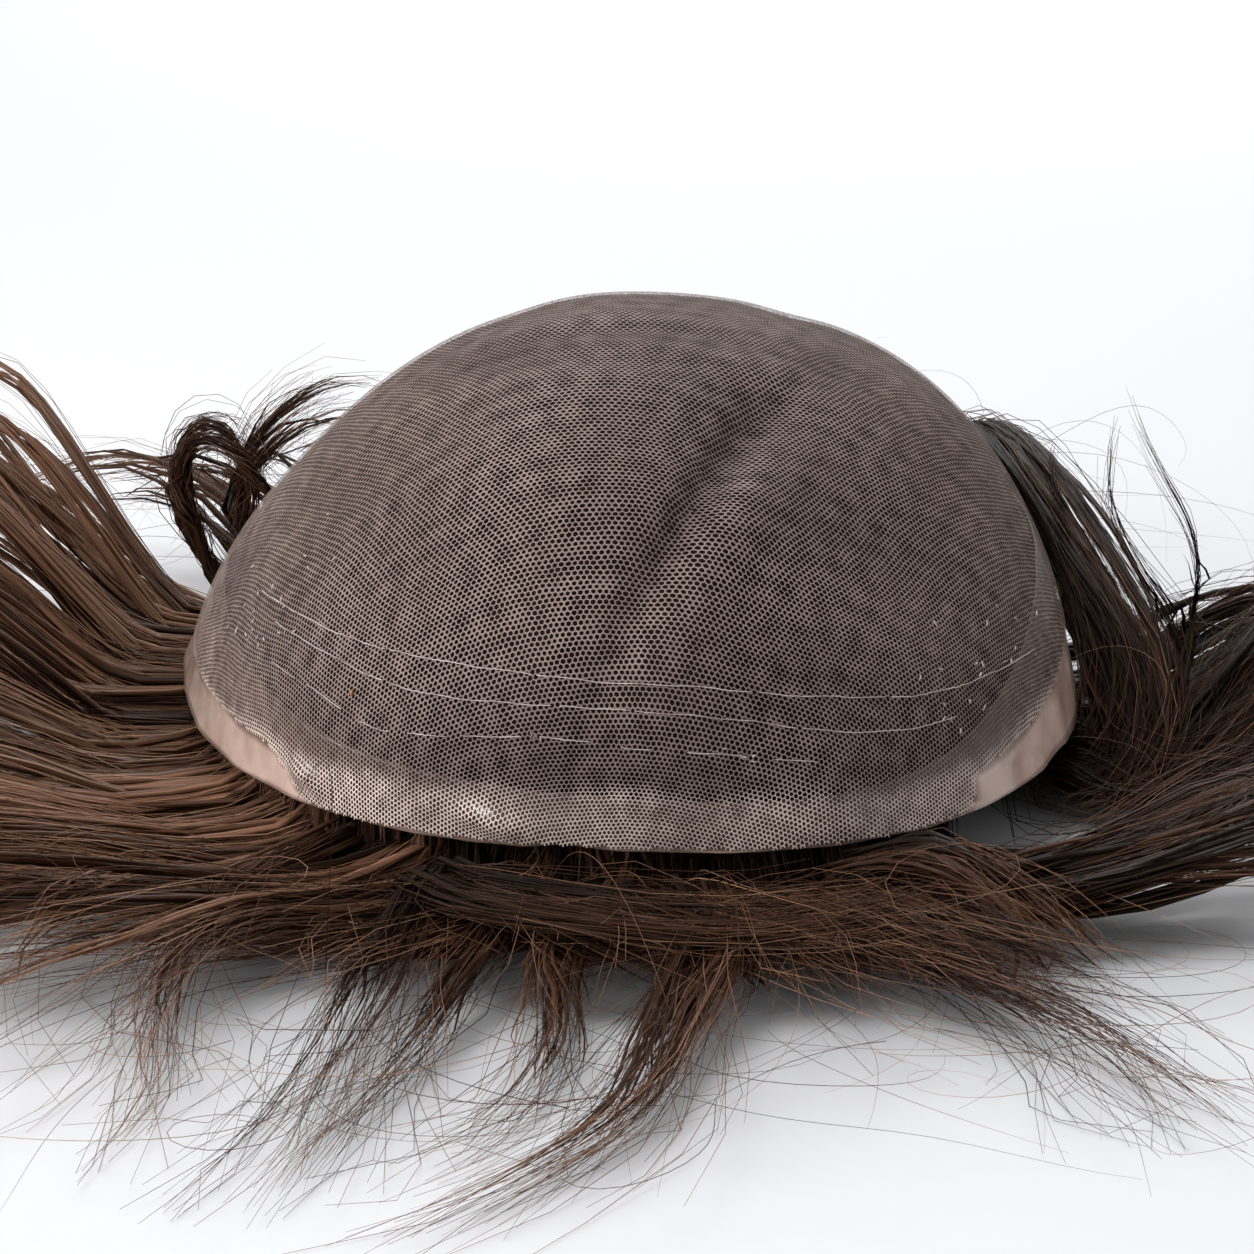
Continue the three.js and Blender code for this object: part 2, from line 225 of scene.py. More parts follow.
def crown_at_origin(azimuth, fall, inset):
    azimuth, fall = np.broadcast_arrays(azimuth, fall)
    out = fold_depth(azimuth, fall) * CROWN_HEIGHT - inset
    return smooth_crown(azimuth, fall) + crown_normal(azimuth, fall) * out[..., None]


def frame_shift():
    """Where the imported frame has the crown: its solid's lowest corner, less that of its points."""
    azimuth = np.arange(SOLID_AZIMUTHS)[:, None] / SOLID_AZIMUTHS * 2 * np.pi
    fall = np.minimum(around("lace_end", azimuth), 1) * np.linspace(0, 1, SOLID_RINGS + 1)
    points = np.stack([crown_at_origin(azimuth, fall, inset) for inset in (0, LACE_WALL)])
    return np.array(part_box("lace_crown")[0]) - points.reshape(-1, 3).min(axis=0)


SHIFT = frame_shift()
RIM_FLARE = 0.001  # how far the base's edge curls outwards
FLARE_START = 0.9  # the fall from which it does


BLISTER_COLUMNS = ("azimuth", "fall", "turn", "long", "wide", "height")
BLISTERS = table(
    BLISTER_COLUMNS,
    (222, 0.94, 20, 0.0045, 0.002, 0.0011),
    (252, 0.962, 14, 0.008, 0.002, 0.0012),
)


def edge_relief(azimuth, fall):
    """How far the base's edge stands out: it flares, and blisters where the film is creased."""
    relief = RIM_FLARE * np.clip((fall - FLARE_START) / (1 - FLARE_START), 0, 1) ** 2
    for blister in BLISTERS:
        turn = math.radians(blister["turn"])
        x = (azimuth - math.radians(blister["azimuth"])) * CROWN_LENGTH / 2 * 0.85
        y = (fall - blister["fall"]) * 0.11
        lengthways = (x * math.cos(turn) + y * math.sin(turn)) / blister["long"]
        sideways = (y * math.cos(turn) - x * math.sin(turn)) / blister["wide"]
        relief = relief + blister["height"] * np.exp(-(lengthways**2) - sideways**2)
    return relief


def crown(azimuth, fall, inset=0.0):
    """Points of the crown, folds and its edge's relief included, moved inwards by inset."""
    return crown_at_origin(azimuth, fall, inset - edge_relief(azimuth, fall)) + SHIFT


# Meshes from arrays


def piece(name, points, faces, material, slot, shade=None, grain=None):
    """A smooth-shaded mesh that rides on the root. shade is a value for each point, and grain a
    place in its streaks."""
    mesh = bpy.data.meshes.new(name)
    sides = faces.shape[1]
    mesh.vertices.add(len(points))
    mesh.vertices.foreach_set("co", points.astype(np.float32).ravel())
    mesh.loops.add(faces.size)
    mesh.loops.foreach_set("vertex_index", faces.astype(np.int32).ravel())
    mesh.polygons.add(len(faces))
    mesh.polygons.foreach_set("loop_start", np.arange(0, faces.size, sides, dtype=np.int32))
    mesh.polygons.foreach_set("use_smooth", np.ones(len(faces), dtype=bool))
    if shade is not None:
        attribute = mesh.attributes.new("shade", "FLOAT", "POINT")
        attribute.data.foreach_set("value", shade.astype(np.float32).ravel())
    if grain is not None:
        attribute = mesh.attributes.new("grain", "FLOAT_VECTOR", "POINT")
        attribute.data.foreach_set("vector", grain.astype(np.float32).ravel())
    mesh.materials.append(material)
    mesh.update(calc_edges=True)
    thing = bpy.data.objects.new(name, mesh)
    bpy.context.scene.collection.objects.link(thing)
    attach(thing, "root")
    return thing


def circle(sides):
    angle = np.arange(sides) / sides * 2 * np.pi
    return np.stack([np.cos(angle), np.sin(angle)], axis=-1)


def sides_of(paths):
    """Level directions across paths (path, step, 3), and ones square to them and to the path."""
    forward = unit(np.gradient(paths, axis=1))
    side = unit(np.cross(forward, (0, 0, 1)) + (1e-6, 0, 0))
    return side, np.cross(side, forward)


def tubes(paths, wide, thick, corners, roll=0.0):
    """Closed tubes along paths (tube, step, 3). wide and thick are half sizes at each step,
    corners (tube, corner, 2) the section's corners as shares of them, and roll its turn."""
    count, steps = wide.shape
    sides = corners.shape[1]
    side, above = sides_of(paths)
    turn = np.broadcast_to(roll, wide.shape)[..., None]
    side, above = side * np.cos(turn) + above * np.sin(turn), above * np.cos(turn) - side * np.sin(turn)
    across = (wide[:, :, None] * corners[:, None, :, 0])[..., None] * side[:, :, None]
    upward = (thick[:, :, None] * corners[:, None, :, 1])[..., None] * above[:, :, None]
    points = (paths[:, :, None] + across + upward).reshape(-1, 3)
    index = np.arange(count * steps * sides).reshape(count, steps, sides)
    a, c = index[:, :-1], index[:, 1:]
    b, d = np.roll(a, -1, axis=2), np.roll(c, -1, axis=2)
    faces = [np.stack([a, d, b], -1), np.stack([a, c, d], -1)]
    for corner in range(1, sides - 1):
        fan = [0, corner, corner + 1]
        faces += [index[:, 0][:, fan], index[:, -1][:, fan[::-1]]]
    return points, np.concatenate([face.reshape(-1, 3) for face in faces])


def closed_skin(rows):
    """Faces for rows of points (azimuth, place) that close both ways: outside down, inside up."""
    count, places = rows
    index = np.arange(count * places).reshape(count, places)
    right, below = np.roll(index, -1, axis=0), np.roll(index, -1, axis=1)
    corner = np.roll(right, -1, axis=1)
    return np.stack([index, below, corner, right], -1).reshape(-1, 4)


def drift(u, v, wavelength, rng, waves=10):
    """Smooth noise of about unit size over the flat pattern."""
    total = 0
    for _ in range(waves):
        angle, phase = rng.uniform(0, 2 * np.pi, 2)
        number = 2 * np.pi / (wavelength * rng.uniform(0.7, 1.4))
        total = total + np.sin(number * (u * np.cos(angle) + v * np.sin(angle)) + phase)
    return total / math.sqrt(waves / 2)


# The net

NET_PITCH = 0.00102  # between holes, at the top: the wall's holes are closer
NET_OPEN = 0.73  # a hole's width, as a share of the pitch
NET_INSET = 0.00012
NET_SHRINK = 0.5  # 0 keeps the rows' spacing down to the rim, and 1 keeps the holes round
NET_PARTS = ("front", "middle", "back")
NET_SWAY = ((0.0004, 0.04), (0.00005, 0.005))  # size and wavelength of its wandering
NET_SHADE = 0.4  # its place in the ramp of tones, where it lies plain
NET_PATCHES = (0.06, 0.03)  # how much that varies, and over what distance
FOLD_PAINTED_SHADE = 8  # painted shade: darker in the folds' hollows, this much for each unit of a fold's depth
OVER_FILM_PAINTED_LIGHT = 0.12  # painted light: lighter where film lies under it
RIM_PAINTED_LIGHT = 0.45  # painted light: lighter along the rim
NET_JITTER = 0.05  # how far a junction strays, as a share of the pitch
FRONT_LACE = (224, 320)  # azimuths between which the lace runs over the film to the rim
FRONT_STEPS = (10, 2)  # degrees over which its edge drops to the rim, and rises again
LACE_MOST = 0.93  # the fall at which it stops elsewhere, at most
RIM_MARGIN = 0.006


def lace_edge(azimuth):
    """The fall at which the net stops: short of the rim, but at the front on the rim itself."""
    low, high = (math.radians(a) for a in FRONT_LACE)
    drop, rise = (math.radians(a) for a in FRONT_STEPS)
    front = smoothstep(azimuth, low - drop, low) * (1 - smoothstep(azimuth, high, high + rise))
    plain = np.minimum(around("lace_end", azimuth), LACE_MOST)
    return plain + (1 - RIM_MARGIN - plain) * front


def unrolled(u, v):
    """The azimuth and fall of points of the flat pattern, whose middle is the crown's top. Its
    radii shrink towards the rim, as the net's holes do when it is drawn over a dome."""
    columns, rings = 360, 240
    azimuths = np.arange(columns + 1) / columns * 2 * np.pi
    falls = np.linspace(0, 1, rings + 1)
    points = smooth_crown(azimuths[:, None], falls[None, :])
    arcs = np.concatenate(
        [np.zeros((columns + 1, 1)), np.cumsum(np.linalg.norm(np.diff(points, axis=1), axis=2), 1)],
        axis=1,
    )
    lengths = arcs[:, -1]
    shares = np.linspace(0, 1, rings + 1)
    fall_at = np.stack([np.interp(shares, arc / arc[-1], falls) for arc in arcs])
    direction = np.arctan2(v, u)
    azimuth = np.arctan2(CROWN_WIDTH * np.sin(direction), CROWN_LENGTH * np.cos(direction))
    azimuth = np.mod(azimuth, 2 * np.pi)
    angles = np.linspace(0, np.pi / 2 * 1.15, 400)
    radii = angles ** (1 - NET_SHRINK) * (2 * np.tan(angles / 2)) ** NET_SHRINK
    radius = np.hypot(u, v) / (np.interp(azimuth, azimuths, lengths) / (np.pi / 2))
    share = np.interp(radius, radii, angles) / (np.pi / 2)
    column = azimuth / (2 * np.pi) * columns
    ring = np.clip(share, 0, 1) * rings
    i = np.minimum(column.astype(int), columns - 1)
    j = np.minimum(ring.astype(int), rings - 1)
    s, t = column - i, ring - j
    near = fall_at[i, j] * (1 - t) + fall_at[i, j + 1] * t
    far = fall_at[i + 1, j] * (1 - t) + fall_at[i + 1, j + 1] * t
    return azimuth, np.where(share > 1, share, near * (1 - s) + far * s)


def net_holes(rng):
    """The six corners of every hole (column, row, corner, 2) of the flat pattern."""
    size = int(0.235 / NET_PITCH)
    i, j = np.meshgrid(np.arange(-size, size), np.arange(-size, size), indexing="ij")
    centre = np.stack([i + j / 2, j * math.sqrt(3) / 2], axis=-1) * NET_PITCH
    junctions = np.stack([centre + NET_PITCH * np.array([1 / 2, math.sqrt(3) / 6]),
                          centre + NET_PITCH * np.array([1, math.sqrt(3) / 3])])
    u, v = junctions[..., 0].copy(), junctions[..., 1].copy()
    for sway, wavelength in NET_SWAY:
        junctions[..., 0] += sway * drift(u, v, wavelength, rng)
        junctions[..., 1] += sway * drift(u, v, wavelength, rng)
    junctions += rng.uniform(-1, 1, junctions.shape) * NET_JITTER * NET_PITCH
    around_hole = ((0, 0, 0), (1, -1, 0), (0, -1, 0), (1, -1, -1), (0, 0, -1), (1, 0, -1))
    return np.stack(
        [np.roll(junctions[k], (-di, -dj), axis=(0, 1)) for k, di, dj in around_hole], axis=2
    )


def surface(points, triangles):
    first, second = points[triangles[:, 1:]].swapaxes(0, 1) - points[triangles[:, 0]]
    return np.linalg.norm(np.cross(first, second), axis=1).sum() / 2


def net_pieces(material):
    """A hexagonal net of real threads: each joins two holes' sides, and three meet in a
    junction. It works out, for each part, the area of its threads and of its flat pattern."""
    rng = np.random.default_rng(11)
    holes = net_holes(rng)
    middle = holes.mean(axis=2)
    azimuth, fall = unrolled(middle[..., 0], middle[..., 1])
    kept = fall < lace_edge(azimuth)
    kept[[0, -1]] = kept[:, [0, -1]] = False
    opened = NET_OPEN + 0.04 * drift(middle[..., 0], middle[..., 1], 0.006, rng)
    corners = middle[:, :, None] + (holes - middle[:, :, None]) * opened[..., None, None]
    number = np.arange(kept.size * 6).reshape(kept.shape + (6,))

    def corner(di, dj, k):
        return np.roll(number[..., k], (-di, -dj), axis=(0, 1))

    def whole(*others):
        meets = kept.copy()
        for di, dj in others:
            meets &= np.roll(kept, (-di, -dj), axis=(0, 1))
        return meets

    quads = []
    for k, (di, dj) in enumerate(((0, 1), (-1, 1), (-1, 0))):
        quad = np.stack(
            [corner(0, 0, k), corner(di, dj, (k + 4) % 6), corner(di, dj, k + 3),
             corner(0, 0, k + 1)], axis=-1
        )
        here = whole((di, dj))
        quads += [(quad[here][:, [0, 1, 2]], here), (quad[here][:, [0, 2, 3]], here)]
    for (i1, j1, k1), (i2, j2, k2), (i3, j3, k3) in (
        ((0, 0, 0), (1, 0, 2), (0, 1, 4)),
        ((0, 0, 1), (0, 1, 3), (-1, 1, 5)),
    ):
        here = whole((i1, j1), (i2, j2), (i3, j3))
        three = np.stack([corner(i1, j1, k1), corner(i2, j2, k2), corner(i3, j3, k3)], axis=-1)
        quads.append((three[here], here))
    faces = np.concatenate([triangles for triangles, _ in quads])
    along = np.concatenate([middle[here][:, 1] for _, here in quads])
    cuts = np.quantile(along, np.linspace(0, 1, len(NET_PARTS) + 1))
    cuts[-1] += NET_PITCH
    things = []
    for name, low, high in zip(NET_PARTS, cuts, cuts[1:]):
        used, own = np.unique(faces[(along >= low) & (along < high)], return_inverse=True)
        spread = corners.reshape(-1, 2)[used]
        azimuth, fall = unrolled(spread[:, 0], spread[:, 1])
        points = crown(azimuth, np.minimum(fall, 1), NET_INSET)
        patches, apart = NET_PATCHES
        shade = NET_SHADE + patches * drift(spread[:, 0], spread[:, 1], apart, rng)
        # Painted shade in the folds' hollows
        shade += FOLD_PAINTED_SHADE * np.minimum(fold_depth(azimuth, fall), 0)
        # Painted light where film lies under the net
        shade += OVER_FILM_PAINTED_LIGHT * smoothstep(fall - around("film_top", azimuth), 0, 0.06)
        # Painted light along the rim
        shade += RIM_PAINTED_LIGHT * smoothstep(fall, 0.87, 0.93)
        triangles = own.reshape(-1, 3)
        thing = piece(f"net_{name}", points, triangles, material, "lace", shade)
        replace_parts(thing, "lace_crown")
        threads = surface(points, triangles)
        pattern = surface(np.pad(spread, ((0, 0), (0, 1))), triangles)
        things.append(thing)
    return things


# The film edge

FILM_INSET = 0.00055
FILM_THICK = 0.0002
FILM_RINGS = 16
FILM_COLUMNS = 220
FILM_CREASE = 0.00016
FILM_BACKED = 0.25  # its shade along the rim where lace lies over it
FILM_PAINTED_LIGHT_AZIMUTH = 320  # azimuth of its painted light: it is lighter where the white table shows through it, and not hair
FILM_PAINTED_SHADE = 0.5  # painted shade: share of its shade that it loses opposite


def film_piece(material):
    rng = np.random.default_rng(23)
    azimuth = np.linspace(0, 2 * np.pi, FILM_COLUMNS, endpoint=False)[:, None]
    top = around("film_top", azimuth)
    bottom = 1 + 0.003 * np.sin(9 * azimuth + 1) + 0.002 * np.sin(23 * azimuth)
    fall = np.minimum(top + (bottom - top) * np.linspace(0, 1, FILM_RINGS), 1)
    crease = FILM_CREASE * drift(azimuth * 0.09, fall * 0.08, 0.012, rng)
    bare = smoothstep(fall, lace_edge(azimuth) - 0.005, lace_edge(azimuth) + 0.01)
    crease = np.where(crease < 0, crease * bare, crease * 0.5)
    outside = crown(azimuth, fall, FILM_INSET + crease)
    inside = crown(azimuth, fall, FILM_INSET + crease + FILM_THICK)
    points = np.concatenate([outside, inside[:, ::-1]], axis=1)
    backed = 0.9 - 0.12 * smoothstep(np.abs(np.cos(azimuth)), 0.5, 0.8)
    # Painted light and shade: lighter where the white table shows through the film, darker where hair lies
    # behind it
    painted_light = 1 - FILM_PAINTED_SHADE * ((1 - np.cos(azimuth - math.radians(FILM_PAINTED_LIGHT_AZIMUTH))) / 2) ** 2
    shade = np.maximum(bare * painted_light, FILM_BACKED * smoothstep(fall, backed, 0.94))
    shade = np.concatenate([shade, shade[:, ::-1]], axis=1)
    thing = piece(
        "film_edge",
        points.reshape(-1, 3),
        closed_skin(points.shape[:2]),
        material,
        "film",
        shade.ravel(),
    )
    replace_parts(thing, "film_band")
    return thing


# The stitch lines across the front: azimuth in degrees and fall of the points that each passes

STITCH_LINES = (
    ((204, 0.70), (217, 0.70), (231, 0.71), (244, 0.72), (270, 0.745), (282, 0.743),
     (304, 0.756), (320, 0.786), (330, 0.805), (340, 0.83)),
    ((211, 0.726), (225, 0.738), (236, 0.761), (245, 0.773), (270, 0.783), (289, 0.788),
     (300, 0.803), (320, 0.828)),
    ((213, 0.783), (225, 0.798), (234, 0.833), (242, 0.833), (260, 0.825), (273, 0.84),
     (286, 0.84), (298, 0.848)),
)
STITCH_RADIUS = 0.000075
STITCH_STEP = 0.28  # degrees
STITCH_RUNS = (90, 60, 22)  # steps that each line's thread runs before it dips under the net
STITCH_SKIPS = (2, 3, 12)  # steps that it then spends there


def stitch_piece(material):
    rng = np.random.default_rng(31)
    points, faces, total = [], [], 0
    for line, length, skip in zip(STITCH_LINES, STITCH_RUNS, STITCH_SKIPS):
        knots = np.array(line)
        degrees = np.arange(knots[0, 0], knots[-1, 0], STITCH_STEP)
        fall = np.interp(degrees, knots[:, 0], knots[:, 1])
        fall = np.convolve(np.pad(fall, 12, mode="edge"), np.full(25, 1 / 25), mode="valid")
        fall += 0.0008 * np.sin(degrees * 0.7 + skip) + 0.0003 * rng.standard_normal(len(degrees))
        path = crown(np.radians(degrees), fall, -STITCH_RADIUS)
        start = 0
        while start < len(path) - 4:
            end = min(start + int(length * rng.uniform(0.6, 1.5)), len(path))
            run = path[start:end][None]
            radius = np.full(run.shape[:2], STITCH_RADIUS)
            radius[:, [0, -1]] *= 0.4
            tube, skin = tubes(run, radius, radius, circle(4)[None])
            points.append(tube)
            faces.append(skin + total)
            total += len(tube)
            start = end + int(skip * rng.uniform(0.5, 1.4))
    return piece("stitches", np.concatenate(points), np.concatenate(faces), material, "lace")


# Knots and loose thread ends: azimuth in degrees and fall about which they gather, their spread in
# each, and how many there are
KNOT_COLUMNS = ("azimuth", "fall", "azimuth_spread", "fall_spread", "number")
KNOTS = table(
    KNOT_COLUMNS,
    (208, 0.72, 7, 0.06, 26),
    (328, 0.8, 8, 0.04, 18),
    (318, 0.83, 1, 0.004, 5),
    (259, 0.826, 0.6, 0.002, 5),
    (288, 0.84, 1.2, 0.003, 5),
)
KNOT_LENGTH = 0.0008
KNOT_RADIUS = 0.00016
ORANGE_KNOT = (230.5, 0.785)
ORANGE_SIZE = 1.5


def knot_parts(azimuth, fall, rng, size=1.0):
    """Short thick threads that lie on the net every which way."""
    count = len(azimuth)
    turn = rng.uniform(0, 2 * np.pi, (count, 1))
    step = np.linspace(-0.5, 0.5, 4)[None] * KNOT_LENGTH * rng.uniform(0.6, 1.4, (count, 1))
    around_rim = azimuth[:, None] + step * np.cos(turn) / (CROWN_WIDTH / 2)
    down = fall[:, None] + step * np.sin(turn) / (CROWN_LENGTH / 2)
    path = crown(around_rim, down, -KNOT_RADIUS * 0.8)
    radius = size * KNOT_RADIUS * rng.uniform(0.6, 1.1, (count, 1)) * np.array([[0.5, 1, 0.9, 0.4]])
    return tubes(path, radius, radius * 0.7, np.broadcast_to(circle(5), (count, 5, 2)))


def knot_pieces(material, orange):
    rng = np.random.default_rng(83)
    azimuth, fall = [], []
    for group in KNOTS:
        azimuth.append(rng.normal(group["azimuth"], group["azimuth_spread"], group["number"]))
        fall.append(rng.normal(group["fall"], group["fall_spread"], group["number"]))
    points, faces = knot_parts(np.radians(np.concatenate(azimuth)), np.concatenate(fall), rng)
    piece("knots", points, faces, material, "lace")
    place = np.array([ORANGE_KNOT])
    points, faces = knot_parts(np.radians(place[:, 0]), place[:, 1], rng, ORANGE_SIZE)
    piece("orange_knot", points, faces, orange, "lace")


# The hair

WISPS = 9  # to a full lock
WISP_STEPS = 40
WISP_WIDE = 0.0024  # half width of the hair that follows a wisp, where it leaves the rim
WISP_THICK = 0.0018
STRANDS = 10  # to a wisp
STRAND_STEPS = 9
STRAND_RADIUS = 0.00008
RIBBONS = 5  # to a wisp
RIBBON_STEPS = 11
RIBBON_SIDES = 5
RIBBON_WIDE = 0.0011
RIBBON_THICK = 0.00045
STREAKS = 15  # around a ribbon
STREAK_RUNS = 3  # along it
FLYAWAYS = 1.35  # to a wisp
FLYAWAY_STEPS = 18
FLYAWAY_RADIUS = 0.00005
FLOOR_CLEAR = 0.0002
ROOT_SHARE = 0.12  # of a wisp's path, that it spends turning outwards under the rim
BOX_MARGIN = 0.0085  # how far hair may reach past the solids' box
HAIR_SIDES = (
    ("right", 330, 415),
    ("back", 55, 130),
    ("left", 130, 235),
    ("front_left", 235, 281),
    ("front_right", 281, 330),
)
DENSITY = {"right": 1.2, "back": 0.6, "left": 1.05, "front_left": 1.35, "front_right": 1.35}
# Painted light and shade of each side's hair: lighter on the left, where the light falls, and darker on
# the right and at the front, which lie in shade
SIDE_PAINTED_LIGHT_AND_SHADE = {"right": -0.5, "back": 0.04, "left": 0.34, "front_left": -0.06, "front_right": -0.26}
# Painted shade of the bundles at the front
TRESS_PAINTED_SHADE = -0.24
RIGHT_FROM = 44  # mm: a tress that starts further over has the right side's painted shade
TONE_SPREAD = (1.8, 2.2)  # of the beta distribution that wisps' tones are drawn from
FRIZZ = 0.0007  # how far a hair wanders from its wisp
CURL = (8, 42)  # degrees by which a wisp's tip swings
FULL = 0.72  # share of a lock's length that most of its hairs reach
FRONT_FULL = 0.36
THINNED = (317, 338, 347)  # locks of a few loose hairs, where the table shows between others
SPARSE = 0.16
ARCHING = 0.35  # lift of a lock that stands up, whose hairs all reach its tip
FRONT_LOCKS = (244, 302)  # azimuths of the locks that lie towards the front
# Bundles that stray from the locks: how many wisps and hairs each has, its half width in mm, the
# ribbons of a wisp, the share of its length that most hairs reach, how far in metres they curl,
# and its points in mm from under the crown's top, the first of them under the rim
TRESS_COLUMNS = ("wisps", "hairs", "half", "ribbons", "full", "curl", "points")
TRESSES = table(
    TRESS_COLUMNS,
    (6, 60, 3.5, 2, 0.45, 0.0022,
     ((-40, -62, 12), (-56, -84, 9), (-60, -112, 5), (-57, -140, 2), (-62, -165, 1))),
    (6, 60, 3.0, 2, 0.45, 0.0022,
     ((-22, -82, 11), (-28, -100, 9), (-33, -128, 5), (-37, -155, 2), (-46, -182, 1))),
    (6, 48, 2.6, 2, 0.45, 0.002,
     ((-8, -86, 11), (-16, -104, 9), (-25, -130, 4), (-34, -152, 2), (-38, -172, 1))),
    (6, 42, 2.2, 2, 0.5, 0.0016,
     ((0, -87, 11), (-7, -106, 8), (-8, -128, 4), (-14, -148, 2), (-24, -160, 1))),
    (6, 96, 3.4, 3, 0.6, 0.0016,
     ((12, -86, 11), (14, -104, 10), (9, -128, 7), (2, -150, 4), (-14, -168, 2), (-30, -184, 1))),
    (6, 108, 4.5, 4, 0.9, 0.0008,
     ((-26, -80, 11), (-18, -95, 13), (0, -104, 13), (18, -105, 12), (34, -97, 12), (44, -84, 11))),
    (6, 72, 6.0, 2, 0.4, 0.0022,
     ((30, -82, 11), (42, -104, 7), (58, -122, 4), (68, -140, 2), (80, -160, 1))),
    (6, 90, 4.5, 4, 0.7, 0.001,
     ((34, -76, 11), (44, -86, 16), (54, -91, 12), (62, -96, 6), (66, -106, 3))),
    (12, 168, 6.5, 4, 1, 0.0009,
     ((46, 64, 8), (52, 76, 18), (57, 80, 31), (62, 71, 40), (67, 54, 41), (73, 34, 35),
      (79, 14, 27), (83, -4, 20), (82, -16, 12), (76, -23, 6), (70, -24, 4))),
    (10, 120, 5.0, 4, 1, 0.0009,
     ((52, 52, 8), (62, 58, 20), (68, 50, 29), (72, 34, 30), (77, 18, 24), (80, 4, 16),
      (80, -8, 9), (75, -15, 4))),
    (8, 80, 4.5, 4, 1, 0.0009,
     ((58, 34, 8), (70, 32, 18), (77, 16, 20), (82, 0, 15), (86, -16, 8), (96, -18, 10),
      (108, -4, 18), (124, 14, 22))),
    (8, 88, 4.5, 4, 1, 0.0009,
     ((62, -12, 8), (71, -18, 7), (79, -27, 5), (89, -27, 7), (99, -15, 13), (108, 0, 19),
      (124, 16, 24))),
    (6, 60, 3.5, 4, 1, 0.0009,
     ((62, 0, 8), (72, -6, 8), (80, -16, 6), (90, -22, 6), (100, -14, 12), (112, 2, 18))),
    (3, 18, 0.7, 1, 0.5, 0.0003,
     ((86, -14, 10), (90, 5, 21), (86, 5, 29), (82, 5, 35), (78, 5, 44), (78, 5, 53), (79, 5, 59))),
    (3, 15, 0.6, 1, 0.4, 0.0003,
     ((88, -12, 10), (92, 5, 22), (92, 5, 33), (90, 5, 39), (87, 5, 44), (83, 5, 51), (80, 5, 58))),
    (3, 15, 0.8, 1, 0.4, 0.0003,
     ((74, 20, 24), (73, 24, 34), (71, 26, 42), (72, 26, 50))),
    (7, 84, 3.0, 4, 1, 0.001,
     ((-52, 56, 8), (-69, 62, 18), (-75, 60, 31), (-74, 60, 41), (-70, 60, 44), (-65, 60, 41),
      (-61, 63, 32), (-64, 70, 22))),
    (7, 84, 3.0, 4, 0.8, 0.001,
     ((-46, 62, 8), (-61, 70, 18), (-66, 70, 29), (-62, 70, 39), (-54, 72, 45), (-46, 74, 47),
      (-38, 78, 45))),
)
# Hair that curves out from under the middle of the front rim
FRINGE = (-22, -15, -8, -1, 6, 13, 20, 27, 34, 41)
for x in FRINGE:
    places = ((x, -70, 5), (x + 1, -84, 9), (x + 5, -94, 11), (x + 13, -102, 10), (x + 23, -107, 7))
    TRESSES += table(TRESS_COLUMNS, (6, 42, 3.4, 3, 0.9, 0.001, places))
LAID_OUT = (31, 42, 52, 136)  # locks whose hair follows the bundles above


def rising_path(root, turn, lay):
    """A path (hair, step, 3) from a root in the lining, round a turn under the rim, and on."""
    bends = int(WISP_STEPS * ROOT_SHARE)
    t = np.linspace(0, 1, bends, endpoint=False)[None, :, None]
    first = lay[:, :1]
    arc = root[:, None] * (1 - t) ** 2 + 2 * turn[:, None] * t * (1 - t) + first * t**2
    return np.concatenate([arc, lay], axis=1)


def wave(count, share, size, cycles, rng):
    """Lateral offsets (hair, step) of about a given size, that start at nothing."""
    number = cycles * rng.uniform(0.6, 1.4, (count, 1))
    phase = rng.uniform(0, 2 * np.pi, (count, 1))
    return size * (np.sin(2 * np.pi * number * share + phase) - np.sin(phase)) * share**0.5


